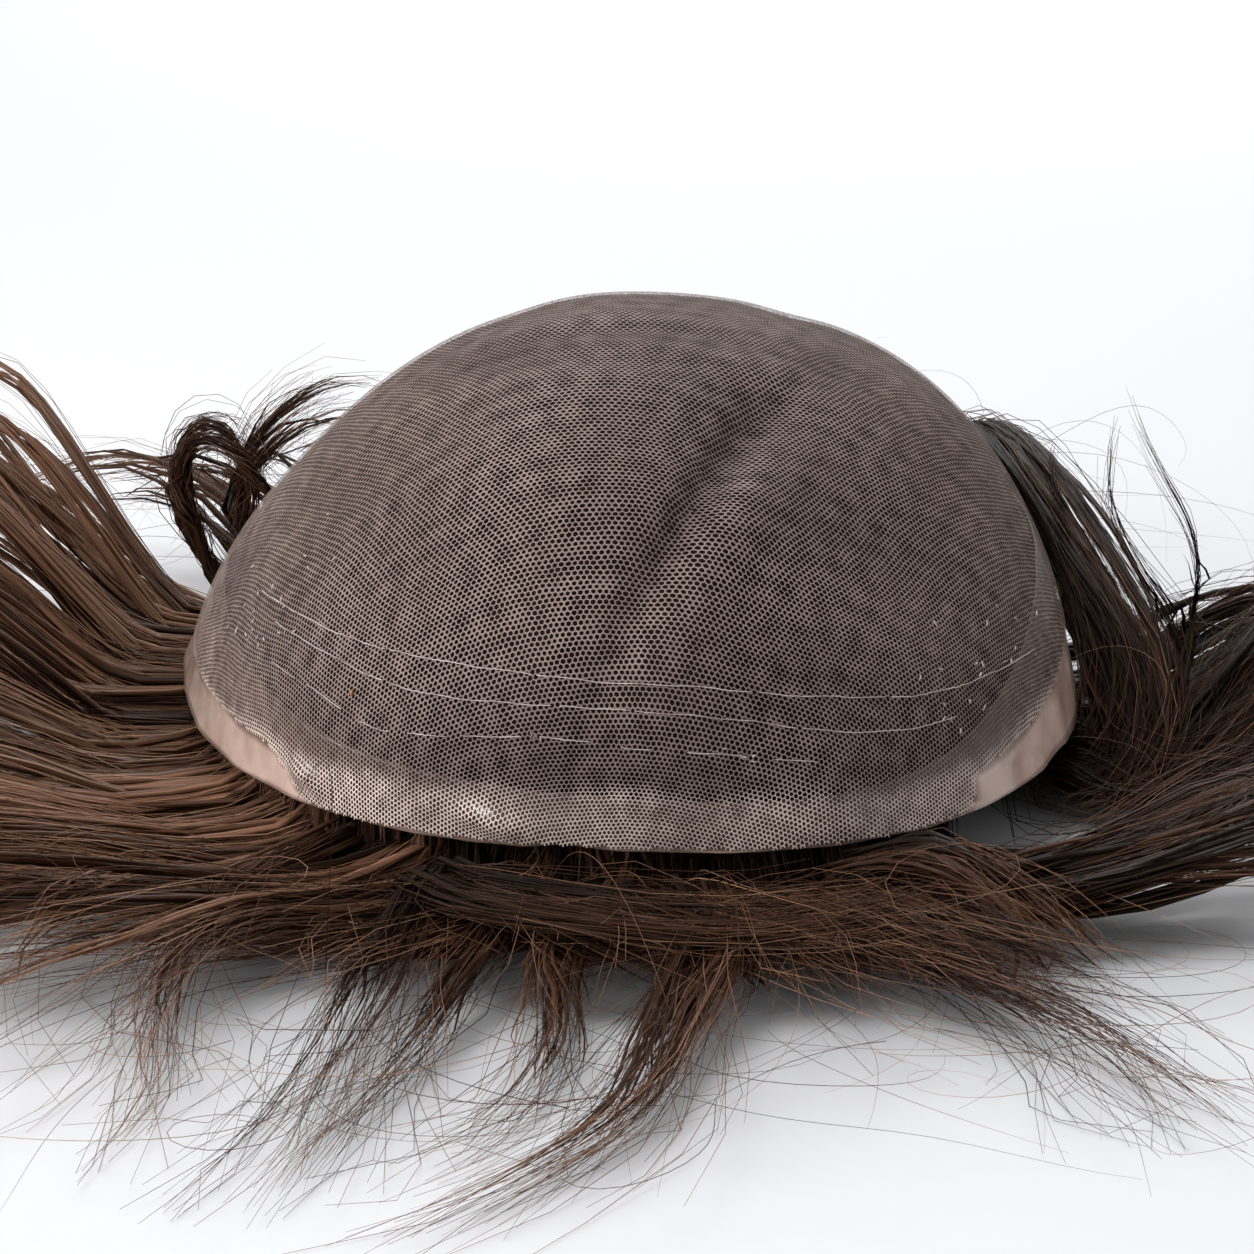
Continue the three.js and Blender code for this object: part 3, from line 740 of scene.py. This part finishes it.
def wisps_of(lock, rng):
    """The paths of a lock's wisps, from the lining to their tips."""
    count = max(round(WISPS * lock["width"]), 4)
    steps = WISP_STEPS - int(WISP_STEPS * ROOT_SHARE)
    share = np.linspace(0, 1, steps)[None]
    turn = math.radians(lock["root"])
    azimuth, ones = np.full(count, turn), np.ones(count)
    rim = smooth_crown(azimuth, ones) + SHIFT
    outward = unit(crown_normal(azimuth, ones) * (1, 1, 0))
    along = np.stack([-outward[:, 1], outward[:, 0], np.zeros(count)], axis=-1)
    place = (np.arange(count) + rng.uniform(0.2, 0.8, count)) / count * 2 - 1
    half = LOCK_WIDTH / 2 * lock["width"]
    length = HAIR_LENGTH * lock["length"] * rng.uniform(0.74, 1.04, (count, 1))
    bend = lock["bend"] * share * rng.uniform(0.85, 1.15, (count, 1))
    curl = rng.uniform(*CURL, (count, 1)) * share
    curl *= np.sin(2 * np.pi * (rng.uniform(0.5, 1.3, (count, 1)) * share + rng.uniform(0, 1, (count, 1))))
    heading = np.radians(lock["heading"] + bend + curl)
    stride = length / (steps - 1)
    ahead = np.stack([np.cos(heading), np.sin(heading)], axis=-1)
    side = np.stack([np.sin(heading), -np.cos(heading)], axis=-1)
    plan = np.cumsum(ahead * stride[..., None], axis=1) - (ahead * stride[..., None])[:, :1]
    sideways = place[:, None] * half * 0.7 * (1 - np.sqrt(1 - WIDTH_TAPER * share**2))
    sideways += rng.normal(0, 0.008, (count, 1)) * share**2
    sideways += wave(count, share, rng.uniform(0.001, 0.005, (count, 1)), 1.2, rng)
    plan += side * sideways[..., None]
    start = rim - outward * 0.002 + along * (place * half * 0.9)[:, None]
    flown = np.maximum(share - LOCK_CLEAR, 0) / (1 - LOCK_CLEAR)
    lift = lock["lift"] * rng.uniform(0.7, 1.25, (count, 1)) + rng.uniform(0, 0.05, (count, 1))
    tip = lock["tip"] * rng.uniform(0.6, 1.2, (count, 1)) + rng.uniform(0, 0.03, (count, 1))
    arch = lift * np.sin(np.pi * flown) ** ARCH_POWER + tip * flown**2
    layer = rng.uniform(0.0015, 0.0085, (count, 1))
    height = layer * (1 - THICK_TAPER * share) + CROWN_HEIGHT * arch
    height += np.abs(wave(count, share, 0.0012, 1.6, rng))
    lay = np.concatenate([start[:, None, :2] + plan, height[..., None]], axis=-1)
    root = crown(azimuth, np.full(count, 0.9), LINING_INSET + 0.003) + along * (place * half)[:, None]
    under = start - outward * 0.005
    under[:, 2] = height[:, 0] + 0.001
    return rising_path(root, under, lay)


def smooth_line(points, steps):
    """A Catmull-Rom curve through points, at equal shares."""
    padded = np.concatenate([2 * points[:1] - points[1:2], points, 2 * points[-1:] - points[-2:-1]])
    place = np.linspace(0, len(points) - 1, steps)
    row = np.minimum(place.astype(int), len(points) - 2)
    t = (place - row)[:, None]
    a, b, c, d = (padded[row + k] for k in range(4))
    return spline(a, b, c, d, t)


def clear_of_crown(points, margin):
    """Points outside the rim, moved out to clear the crown's side."""
    local = points - SHIFT
    azimuth = np.arctan2(local[..., 1] / CROWN_LENGTH, local[..., 0] / CROWN_WIDTH)
    rise = np.clip((local[..., 2] - RIM_HEIGHT + margin) / CROWN_HEIGHT, 0, 1)
    fullness = around("fullness", azimuth)
    edge = around("reach", azimuth) * (1 - rise**fullness) ** (1 / fullness)
    reach = np.hypot(local[..., 0] / (CROWN_WIDTH / 2), local[..., 1] / (CROWN_LENGTH / 2))
    need = edge + margin / (CROWN_WIDTH / 2)
    inside = (local[..., 2] > RIM_HEIGHT - margin) & (reach < need)
    grow = np.where(inside, need / np.maximum(reach, 1e-6), 1.0)
    moved = points.copy()
    moved[..., :2] = local[..., :2] * grow[..., None] + SHIFT[:2]
    return moved


def frizz(count, steps, size, rng):
    """Offsets (hair, step, 3) that start at nothing and wander, the more the further out."""
    share = np.linspace(0, 1, steps)[None, :, None]
    total = 0
    for cycles, part in ((0.7, 1.0), (1.6, 0.5)):
        phase = rng.uniform(0, 1, (count, 1, 3))
        number = cycles * rng.uniform(0.7, 1.3, (count, 1, 3))
        total = total + part * np.sin(2 * np.pi * (number * share + phase))
    return total * size[:, None, None] * share


def along_path(paths, share):
    """Points of paths (hair, step, 3) at shares (hair, place) of the way along each."""
    steps = paths.shape[1]
    place = np.clip(share, 0, 1) * (steps - 1)
    low = np.minimum(place.astype(int), steps - 2)
    part = (place - low)[..., None]
    row = np.arange(len(paths))[:, None]
    return paths[row, low] * (1 - part) + paths[row, low + 1] * part


def inside_box(paths):
    """Paths cut short where they would leave the box that the hair may fill."""
    low, high = (np.array(corner) for corner in cad_box)
    out = (paths < low - (BOX_MARGIN, BOX_MARGIN, 1)) | (paths > high + BOX_MARGIN)
    out = out.any(axis=-1)
    steps = paths.shape[1]
    last = np.where(out.any(axis=1), np.maximum(out.argmax(axis=1) - 1, 2), steps - 1)
    share = np.linspace(0, 1, steps)[None] * (last / (steps - 1))[:, None]
    return along_path(paths, share)


def settled(paths, way, clear, margin):
    """Hair paths made to lie on the table, outside the crown and within the box. way is each
    point's share of its wisp: the first part is still under the rim."""
    outside = (np.broadcast_to(way, paths.shape[:2]) > ROOT_SHARE * 1.15)[..., None]
    paths = np.where(outside, clear_of_crown(paths, margin), paths)
    paths[..., 2] = np.maximum(paths[..., 2], clear)
    return inside_box(paths)


def ribbons_along(wisps, tones, number, size, full, rng):
    """Locks of hairs that cling together, number to a wisp: flat tubes with pointed ends."""
    count = len(wisps) * number
    owner = np.repeat(np.arange(len(wisps)), number)
    reach = np.minimum(full * rng.uniform(0.62, 1.25, (count, 1)), 1)
    steps = int(RIBBON_STEPS * (1.9 if full == 1 else 1))
    share = np.linspace(0, 1, steps)[None]
    path = along_path(wisps[owner], share * reach)
    side, _ = sides_of(path)
    place = rng.uniform(-1, 1, (count, 1)) * (1 - 0.6 * share) * WISP_WIDE
    path[..., 2] += rng.uniform(-0.6, 1, (count, 1)) * (1 - 0.7 * share) * WISP_THICK
    place += wave(count, share, rng.uniform(0.0004, 0.0014, (count, 1)), 1.4, rng)
    path = path + place[..., None] * side
    path += frizz(count, steps, rng.gamma(1.5, 0.0005, count), rng)
    taper = (1 - share**2.4) ** 0.75 * (1 - 0.35 * share) + 0.03
    wide = size * RIBBON_WIDE * rng.uniform(0.6, 1.25, (count, 1)) * taper
    thick = size * RIBBON_THICK * rng.uniform(0.7, 1.2, (count, 1)) * taper
    path = settled(path, share * reach, FLOOR_CLEAR + thick * 1.3, 0.0015)
    roll = rng.normal(0, 0.35, (count, 1)) + rng.normal(0, 0.5, (count, 1)) * share
    corners = np.broadcast_to(circle(RIBBON_SIDES), (count, RIBBON_SIDES, 2))
    points, faces = tubes(path, wide, thick, corners, roll)
    points[:, 2] = np.maximum(points[:, 2], FLOOR_CLEAR)
    shape = (count, steps, RIBBON_SIDES)
    grain = np.stack(
        [
            np.broadcast_to(np.arange(RIBBON_SIDES) / RIBBON_SIDES * STREAKS, shape),
            np.broadcast_to(share[..., None] * STREAK_RUNS, shape),
            np.broadcast_to(rng.uniform(0, 400, (count, 1, 1)), shape),
        ],
        axis=-1,
    )
    # Painted shade: darker towards the root, under the rim, and lighter towards the tip
    tone = tones[owner][:, None] + rng.normal(0, 0.14, (count, 1)) + 0.6 * (share**0.7 - 0.62)
    return points, faces, np.repeat(np.clip(tone, 0, 1).ravel(), RIBBON_SIDES), grain.reshape(-1, 3)


def strands_along(wisps, number, wide, thick, full, curl, rng):
    """Hairs that follow wisps: spread over their width at the rim, and drawn together or let
    loose towards the tips. Most of them reach the share full of the way."""
    count = len(wisps) * number
    owner = np.repeat(np.arange(len(wisps)), number)
    loose = np.exp(rng.normal(-0.8, 0.6, len(wisps)))[owner][:, None]
    far = full * rng.uniform(0.75, 1.15, (count, 1)) + (1 - full) * rng.beta(0.6, 1.5, (count, 1))
    steps = int(STRAND_STEPS * (1.7 if full == 1 else 1))
    stray = min(wide / WISP_WIDE, 1)
    share = np.linspace(0, 1, steps)[None] ** 1.15
    path = along_path(wisps[owner], share * far)
    side, above = sides_of(path)
    angle = rng.uniform(0, 2 * np.pi, (count, 1)) + rng.uniform(-1.5, 1.5, (count, 1)) * share
    radius = np.sqrt(rng.uniform(0, 1, (count, 1))) * ((1 - share) + share * loose)
    across = radius * wide * np.cos(angle)
    across += rng.normal(0, 1, (count, 1)).clip(-2, 2) ** 3 * 0.0022 * stray * share**2
    upward = radius * thick * np.sin(angle)
    rise = np.abs(rng.normal(0, 1, (count, 1))).clip(0, 2) ** 3 * 0.0012 * stray
    upward += rise * share * (1 - 0.5 * share)
    path = path + across[..., None] * side + upward[..., None] * above
    path = path + frizz(count, steps, rng.gamma(1.5, curl, count), rng)
    return settled(path, share * far, FLOOR_CLEAR + STRAND_RADIUS, 0.001)


def flyaways_from(wisps, number, rng):
    """Single hairs that leave the wisps and curl off on their own."""
    count = int(len(wisps) * number)
    own = wisps[rng.integers(0, len(wisps), count)]
    begin = rng.uniform(0.25, 0.9, (count, 1))
    start = along_path(own, begin)[:, 0]
    ahead = along_path(own, begin + 0.04)[:, 0] - along_path(own, begin - 0.04)[:, 0]
    base = np.arctan2(ahead[:, 1], ahead[:, 0])[:, None]
    share = np.linspace(0, 1, FLYAWAY_STEPS)[None]
    turn = rng.normal(0, 2.2, (count, 1)) * share + rng.normal(0, 2.2, (count, 1)) * share**2
    heading = base + rng.normal(0, 0.3, (count, 1)) + turn
    length = HAIR_LENGTH * rng.uniform(0.25, 0.6, (count, 1))
    stride = length / (FLYAWAY_STEPS - 1)
    plan = np.cumsum(np.stack([np.cos(heading), np.sin(heading)], -1) * stride[..., None], axis=1)
    plan -= plan[:, :1]
    bulge = np.sin(np.pi * share * rng.uniform(0.5, 1.1, (count, 1)))
    rise = rng.gamma(0.9, 0.0075, (count, 1)) * bulge
    height = start[:, None, 2] * (1 - 0.8 * share) + rise
    path = np.concatenate([start[:, None, :2] + plan, height[..., None]], axis=-1)
    return path + frizz(count, FLYAWAY_STEPS, rng.gamma(1.5, 0.0006, count), rng)


def hair_tubes(paths, radius, tones, rng):
    """Three-sided hairs that thin towards their tips, with a shade for each hair's points."""
    count, steps = paths.shape[:2]
    share = np.linspace(0, 1, steps)
    size = radius * rng.uniform(0.8, 1.25, (count, 1)) * (1 - 0.65 * share**2)[None]
    angle = rng.uniform(0, 2 * np.pi, (count, 1)) + np.arange(3)[None] * 2 * np.pi / 3
    corners = np.stack([np.cos(angle), np.sin(angle)], axis=-1)
    points, faces = tubes(paths, size, size, corners)
    tone = np.repeat(tones, count // len(tones))[:, None] + rng.normal(0, 0.2, (count, 1))
    # Painted shade and light: darker towards the root, under the rim, and lighter towards the tip
    tone = np.clip(tone + 0.8 * (share[None] ** 0.8 - 0.55), 0, 1)
    return points, faces, np.repeat(tone.ravel(), 3)


def joined(parts):
    """One mesh's points, faces and values from several."""
    points, faces, *values = zip(*parts)
    starts = np.cumsum([0] + [len(own) for own in points[:-1]])
    faces = [own + start for own, start in zip(faces, starts)]
    return [np.concatenate(column) for column in (points, faces, *values)]


def tress_parts(rng):
    """The bundles in TRESSES, each of a few wisps that wander about its path: their hairs, and
    their ribbons."""
    hairs, ribbons = [], []
    for tress in TRESSES:
        half, full = tress["half"], tress["full"]
        middle = smooth_line(np.array(tress["points"]) / 1000 + SHIFT * (1, 1, 0), WISP_STEPS)
        count = tress["wisps"]
        share = np.linspace(0, 1, WISP_STEPS)[None]
        forward = unit(np.gradient(middle, axis=0))
        side = unit(np.cross(forward, (0, 0, 1)))
        size = half / 1000 * rng.uniform(-1, 1, (count, 1)) * (1 - 0.3 * share)
        size += wave(count, share, 0.4 * half / 1000, 1.1, rng)
        size += rng.normal(0, 0.8 * half / 1000, (count, 1)) * share**2
        wisps = middle[None] + size[..., None] * side[None]
        wisps[..., 2] *= rng.uniform(0.88, 1.08, (count, 1))
        # Random tones, shifted by the right side's painted shade or by the front's
        tone = SIDE_PAINTED_LIGHT_AND_SHADE["right"] if tress["points"][0][0] > RIGHT_FROM else TRESS_PAINTED_SHADE
        tones = rng.beta(*TONE_SPREAD, count) + tone
        each = tress["hairs"] // count
        paths = strands_along(
            wisps, each, half / 1400, half / 2600, max(full, 0.8), tress["curl"], rng
        )
        hairs.append(hair_tubes(paths, STRAND_RADIUS, tones, rng))
        ribbons.append(ribbons_along(wisps, tones, tress["ribbons"], 0.35 + half / 12, full, rng))
    return hairs, ribbons


def loose_hairs(wisps, rng):
    paths = flyaways_from(wisps, FLYAWAYS, rng)
    pushed = np.abs(clear_of_crown(paths, 0.001) - paths).max(axis=(1, 2))
    paths = inside_box(paths[pushed < 1e-6])
    paths[..., 2] = np.maximum(paths[..., 2], FLOOR_CLEAR + FLYAWAY_RADIUS)
    return hair_tubes(paths, FLYAWAY_RADIUS, rng.beta(2, 2, len(paths)), rng)


def hair_pieces(materials):
    rng = np.random.default_rng(47)
    for side, low, high in HAIR_SIDES:
        hairs, ribbons = [], []
        for lock in LOCKS:
            root = lock["root"] + (360 if lock["root"] + 360 < high else 0)
            if not low <= root < high or lock["root"] in LAID_OUT:
                continue
            wisps = settled(wisps_of(lock, rng), np.linspace(0, 1, WISP_STEPS), 0.0008, 0.004)
            # Random tones, shifted by the side's painted light and shade
            tones = rng.beta(*TONE_SPREAD, len(wisps)) + SIDE_PAINTED_LIGHT_AND_SHADE[side]
            full = FRONT_FULL if FRONT_LOCKS[0] < root < FRONT_LOCKS[1] else FULL
            if lock["lift"] > ARCHING:
                full = 1
            number = round(STRANDS * DENSITY[side])
            if lock["root"] in THINNED:
                number = round(number * SPARSE)
            else:
                ribbons.append(ribbons_along(wisps, tones, RIBBONS, 1, full, rng))
            paths = strands_along(wisps, number, WISP_WIDE, WISP_THICK, full, FRIZZ, rng)
            hairs.append(hair_tubes(paths, STRAND_RADIUS, tones, rng))
            hairs.append(loose_hairs(wisps, rng))
        if side == "front_left":
            more = tress_parts(rng)
            hairs += more[0]
            ribbons += more[1]
        for kind, parts in (("locks", ribbons), ("strands", hairs)):
            points, faces, *values = joined(parts)
            name = f"hair_{kind}_{side}"
            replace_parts(piece(name, points, faces, materials[kind], "hair", *values), "hair")


LINING_SHOWN = 0.00055  # inset of the lining's outside, which is knotted to the net
LINING_UNDER = 0.0013  # its inset under the film


def lining_piece(material):
    """The hair that lines the base, combed from the top down to the rim."""
    rng = np.random.default_rng(59)
    azimuth = np.linspace(0, 2 * np.pi, 100, endpoint=False)[:, None]
    fall = np.linspace(0.004, LINING_END, 20)[None]
    comb = 0.0005 * rng.uniform(-1, 1, (100, 1)) * smoothstep(fall, 0.1, 0.5)
    sunk = np.maximum(-0.5 * CROWN_HEIGHT * fold_depth(azimuth, fall), 0)
    under = smoothstep(fall, around("film_top", azimuth) - 0.12, around("film_top", azimuth) - 0.03)
    sunk = sunk + (LINING_UNDER - LINING_SHOWN) * under
    outside = crown(azimuth, fall, LINING_SHOWN + sunk + 0.2 * comb)
    inside = crown(azimuth, fall, LINING_INSET + HAIR_LAYER + 2 * comb)
    points = np.concatenate([outside, inside[:, ::-1]], axis=1)
    thing = piece(
        "hair_lining",
        points.reshape(-1, 3),
        closed_skin(points.shape[:2]),
        material,
        "hair",
        rng.uniform(0, 0.6, (100, 1)).repeat(points.shape[1], axis=1).ravel(),
    )
    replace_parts(thing, "hair")
    return thing


# Materials


def new_material(name, roughness, specular=0.5, **sockets):
    material = bpy.data.materials.new(name)
    material.use_nodes = True
    shader = material.node_tree.nodes["Principled BSDF"]
    shader.inputs["Roughness"].default_value = roughness
    shader.inputs["Specular IOR Level"].default_value = specular
    for socket, value in sockets.items():
        shader.inputs[socket.replace("_", " ")].default_value = value
    return material, shader


def link(material, out, into):
    material.node_tree.links.new(out, into)


def ramp(material, value, stops):
    node = material.node_tree.nodes.new("ShaderNodeValToRGB")
    elements = node.color_ramp.elements
    while len(elements) < len(stops):
        elements.new(0.5)
    for element, (place, color) in zip(elements, stops):
        element.position = place
        element.color = (*color, 1)
    link(material, value, node.inputs["Fac"])
    return node.outputs["Color"]


def noise(material, scale, detail=3.0, stretch=None):
    tree = material.node_tree
    node = tree.nodes.new("ShaderNodeTexNoise")
    node.inputs["Scale"].default_value = scale
    node.inputs["Detail"].default_value = detail
    place = tree.nodes.new("ShaderNodeTexCoord").outputs["Object"]
    if stretch:
        mapping = tree.nodes.new("ShaderNodeMapping")
        mapping.inputs["Scale"].default_value = stretch
        link(material, place, mapping.inputs["Vector"])
        place = mapping.outputs["Vector"]
    link(material, place, node.inputs["Vector"])
    return node.outputs["Fac"]


def shade_of(material):
    node = material.node_tree.nodes.new("ShaderNodeAttribute")
    node.attribute_name = "shade"
    return node.outputs["Fac"]


def bump(material, shader, height, strength, distance):
    node = material.node_tree.nodes.new("ShaderNodeBump")
    node.inputs["Strength"].default_value = strength
    node.inputs["Distance"].default_value = distance
    link(material, height, node.inputs["Height"])
    link(material, node.outputs["Normal"], shader.inputs["Normal"])


def blend(material, first, second, factor):
    node = material.node_tree.nodes.new("ShaderNodeMix")
    node.data_type = "RGBA"
    node.inputs["Factor"].default_value = factor
    node.blend_type = "MULTIPLY"
    link(material, first, node.inputs["A"])
    link(material, second, node.inputs["B"])
    return node.outputs["Result"]


def net_material():
    material, shader = new_material("lace_thread", 0.7, 0.1)
    # Its lowest tones are the painted shade in the folds, and its highest the painted light along the rim
    tones = ramp(
        material,
        shade_of(material),
        [
            (0.0, (0.15, 0.11, 0.098)),
            (0.4, (0.27, 0.205, 0.183)),
            (0.6, (0.33, 0.255, 0.23)),
            (1.0, (0.9, 0.75, 0.68)),
        ],
    )
    fleck = ramp(material, noise(material, 900), [(0.3, (0.72, 0.7, 0.68)), (0.7, (1, 1, 1))])
    link(material, blend(material, tones, fleck, 1.0), shader.inputs["Base Color"])
    return material


def film_material():
    """Dull where the lace lies tight on it, and glossy along the rim and where it is bare."""
    material, shader = new_material("clear_film", 0.35, 0.4, Coat_Roughness=0.13)
    tones = ramp(
        material,
        shade_of(material),
        [(0.0, (0.07, 0.044, 0.036)), (FILM_BACKED, (0.12, 0.08, 0.065)), (1.0, (0.82, 0.61, 0.52))],
    )
    gloss = ramp(material, shade_of(material), [(0.05, (0, 0, 0)), (FILM_BACKED, (0.9, 0.9, 0.9))])
    link(material, gloss, shader.inputs["Coat Weight"])
    mottle = ramp(material, noise(material, 110, 5.0), [(0.38, (0.72, 0.66, 0.63)), (0.6, (1, 1, 1))])
    link(material, blend(material, tones, mottle, 1.0), shader.inputs["Base Color"])
    bump(material, shader, noise(material, 420, 4.0), 0.25, 0.0004)
    return material


def stitch_material():
    material, shader = new_material("stitch_thread", 0.55, 0.4)
    tones = ramp(
        material, noise(material, 300), [(0.35, (0.34, 0.27, 0.25)), (0.65, (0.62, 0.55, 0.52))]
    )
    link(material, tones, shader.inputs["Base Color"])
    return material


def orange_material():
    material, shader = new_material("orange_thread", 0.6, 0.3)
    tones = ramp(material, noise(material, 900), [(0.3, (0.4, 0.13, 0.05)), (0.7, (0.62, 0.25, 0.11))])
    link(material, tones, shader.inputs["Base Color"])
    return material


def strand_material():
    material, shader = new_material("hair_strand", 0.38, 0.18, Specular_Tint=(1, 0.8, 0.68, 1))
    tones = ramp(
        material,
        shade_of(material),
        [
            (0.0, (0.015, 0.0064, 0.0034)),
            (0.35, (0.06, 0.026, 0.0145)),
            (0.7, (0.16, 0.077, 0.045)),
            (1.0, (0.36, 0.195, 0.12)),
        ],
    )
    link(material, tones, shader.inputs["Base Color"])
    return material


def lock_material():
    """Hairs that cling together: streaks that run along each ribbon, in colour and in relief."""
    material, shader = new_material("hair_lock", 0.45, 0.13, Specular_Tint=(1, 0.8, 0.68, 1))
    tree = material.node_tree
    grain = tree.nodes.new("ShaderNodeAttribute")
    grain.attribute_name = "grain"
    streaks = tree.nodes.new("ShaderNodeTexNoise")
    streaks.inputs["Scale"].default_value = 1
    streaks.inputs["Detail"].default_value = 2
    link(material, grain.outputs["Vector"], streaks.inputs["Vector"])
    fine = ramp(
        material,
        streaks.outputs["Fac"],
        [(0.3, (0.1, 0.085, 0.075)), (0.5, (0.55, 0.52, 0.5)), (0.7, (1, 1, 1))],
    )
    tones = ramp(
        material,
        shade_of(material),
        [(0.0, (0.011, 0.0046, 0.0024)), (0.5, (0.095, 0.042, 0.023)), (1.0, (0.32, 0.165, 0.1))],
    )
    link(material, blend(material, tones, fine, 1.0), shader.inputs["Base Color"])
    bump(material, shader, streaks.outputs["Fac"], 0.8, 0.00025)
    return material


def lining_material():
    material, shader = new_material("hair_lining", 0.7, 0.06)
    # Near black: the hair's own dark brown, darkened further as painted shade inside the base
    tones = ramp(
        material, shade_of(material), [(0.0, (0.007, 0.0038, 0.0028)), (0.6, (0.02, 0.011, 0.008))]
    )
    link(material, tones, shader.inputs["Base Color"])
    bump(material, shader, noise(material, 1500, 3.0), 0.6, 0.0003)
    return material


def table_material():
    material, shader = new_material("white_table", 0.7, 0.3)
    shader.inputs["Base Color"].default_value = (0.68, 0.685, 0.705, 1)
    return material


# The stage, lights and camera

EYE_DISTANCE = 0.6
EYE_PITCH = math.radians(15)
EYE_TARGET = (0.002, 0.0, RIM_HEIGHT + 0.011)  # from under the crown's top
PHOTO_WIDTH = 1254  # pixels
FOCAL_PIXELS = 3807


def make_camera():
    data = bpy.data.cameras.new("camera")
    data.sensor_width = 36
    data.lens = FOCAL_PIXELS / PHOTO_WIDTH * data.sensor_width
    camera = bpy.data.objects.new("camera", data)
    back = Vector((0, -math.cos(EYE_PITCH), math.sin(EYE_PITCH)))
    camera.location = Vector(EYE_TARGET) + Vector(SHIFT) + back * EYE_DISTANCE
    camera.rotation_euler = (math.pi / 2 - EYE_PITCH, 0, 0)
    bpy.context.scene.collection.objects.link(camera)
    bpy.context.scene.camera = camera


def make_stage():
    """A white table that curves up behind into a backdrop."""
    profile = [(-4.0, 0.0), (1.6, 0.0)]
    profile += [
        (1.6 + math.sin(a) * 0.8, 0.8 - math.cos(a) * 0.8) for a in np.linspace(0.1, math.pi / 2, 12)
    ]
    profile.append((2.4, 4.0))
    points = np.array([(x, y, z) for y, z in profile for x in (-5.0, 5.0)])
    faces = np.array([(2 * k, 2 * k + 1, 2 * k + 3, 2 * k + 2) for k in range(len(profile) - 1)])
    mesh = bpy.data.meshes.new("table")
    mesh.from_pydata(points.tolist(), [], faces.tolist())
    for face in mesh.polygons:
        face.use_smooth = True
    mesh.materials.append(table_material())
    table = bpy.data.objects.new("table", mesh)
    bpy.context.scene.collection.objects.link(table)


def area_light(name, place, size, power, target=(0, 0, 0.03)):
    data = bpy.data.lights.new(name, "AREA")
    data.shape = "RECTANGLE"
    data.size, data.size_y = size
    data.energy = power
    light = bpy.data.objects.new(name, data)
    light.location = place
    light.rotation_euler = (Vector(target) - Vector(place)).to_track_quat("-Z", "Y").to_euler()
    bpy.context.scene.collection.objects.link(light)


def make_lights():
    world = bpy.data.worlds.new("studio")
    world.use_nodes = True
    world.node_tree.nodes["Background"].inputs["Color"].default_value = (1, 1, 1, 1)
    world.node_tree.nodes["Background"].inputs["Strength"].default_value = 0.45
    bpy.context.scene.world = world
    area_light("key", (-0.85, -0.34, 0.25), (0.9, 0.34), 4.2)
    # Small bright lights, which the film's two blisters mirror
    area_light("glint_left", (-0.96, -0.11, 0.29), (0.13, 0.1), 2.4)
    area_light("glint_front", (-0.6, -0.98, 0.27), (0.4, 0.06), 2.2)
    area_light("top", (-0.3, -0.1, 1.3), (0.9, 0.9), 12)
    area_light("back", (0.3, 1.5, 1.0), (1.4, 0.6), 16, (0.3, 1.1, 0))


make_camera()
make_stage()
make_lights()
net = net_pieces(net_material())
film_piece(film_material())
thread = stitch_material()
stitch_piece(thread)
knot_pieces(thread, orange_material())
lining_piece(lining_material())
hair_pieces({"locks": lock_material(), "strands": strand_material()})
bpy.context.scene.view_settings.view_transform = "Standard"
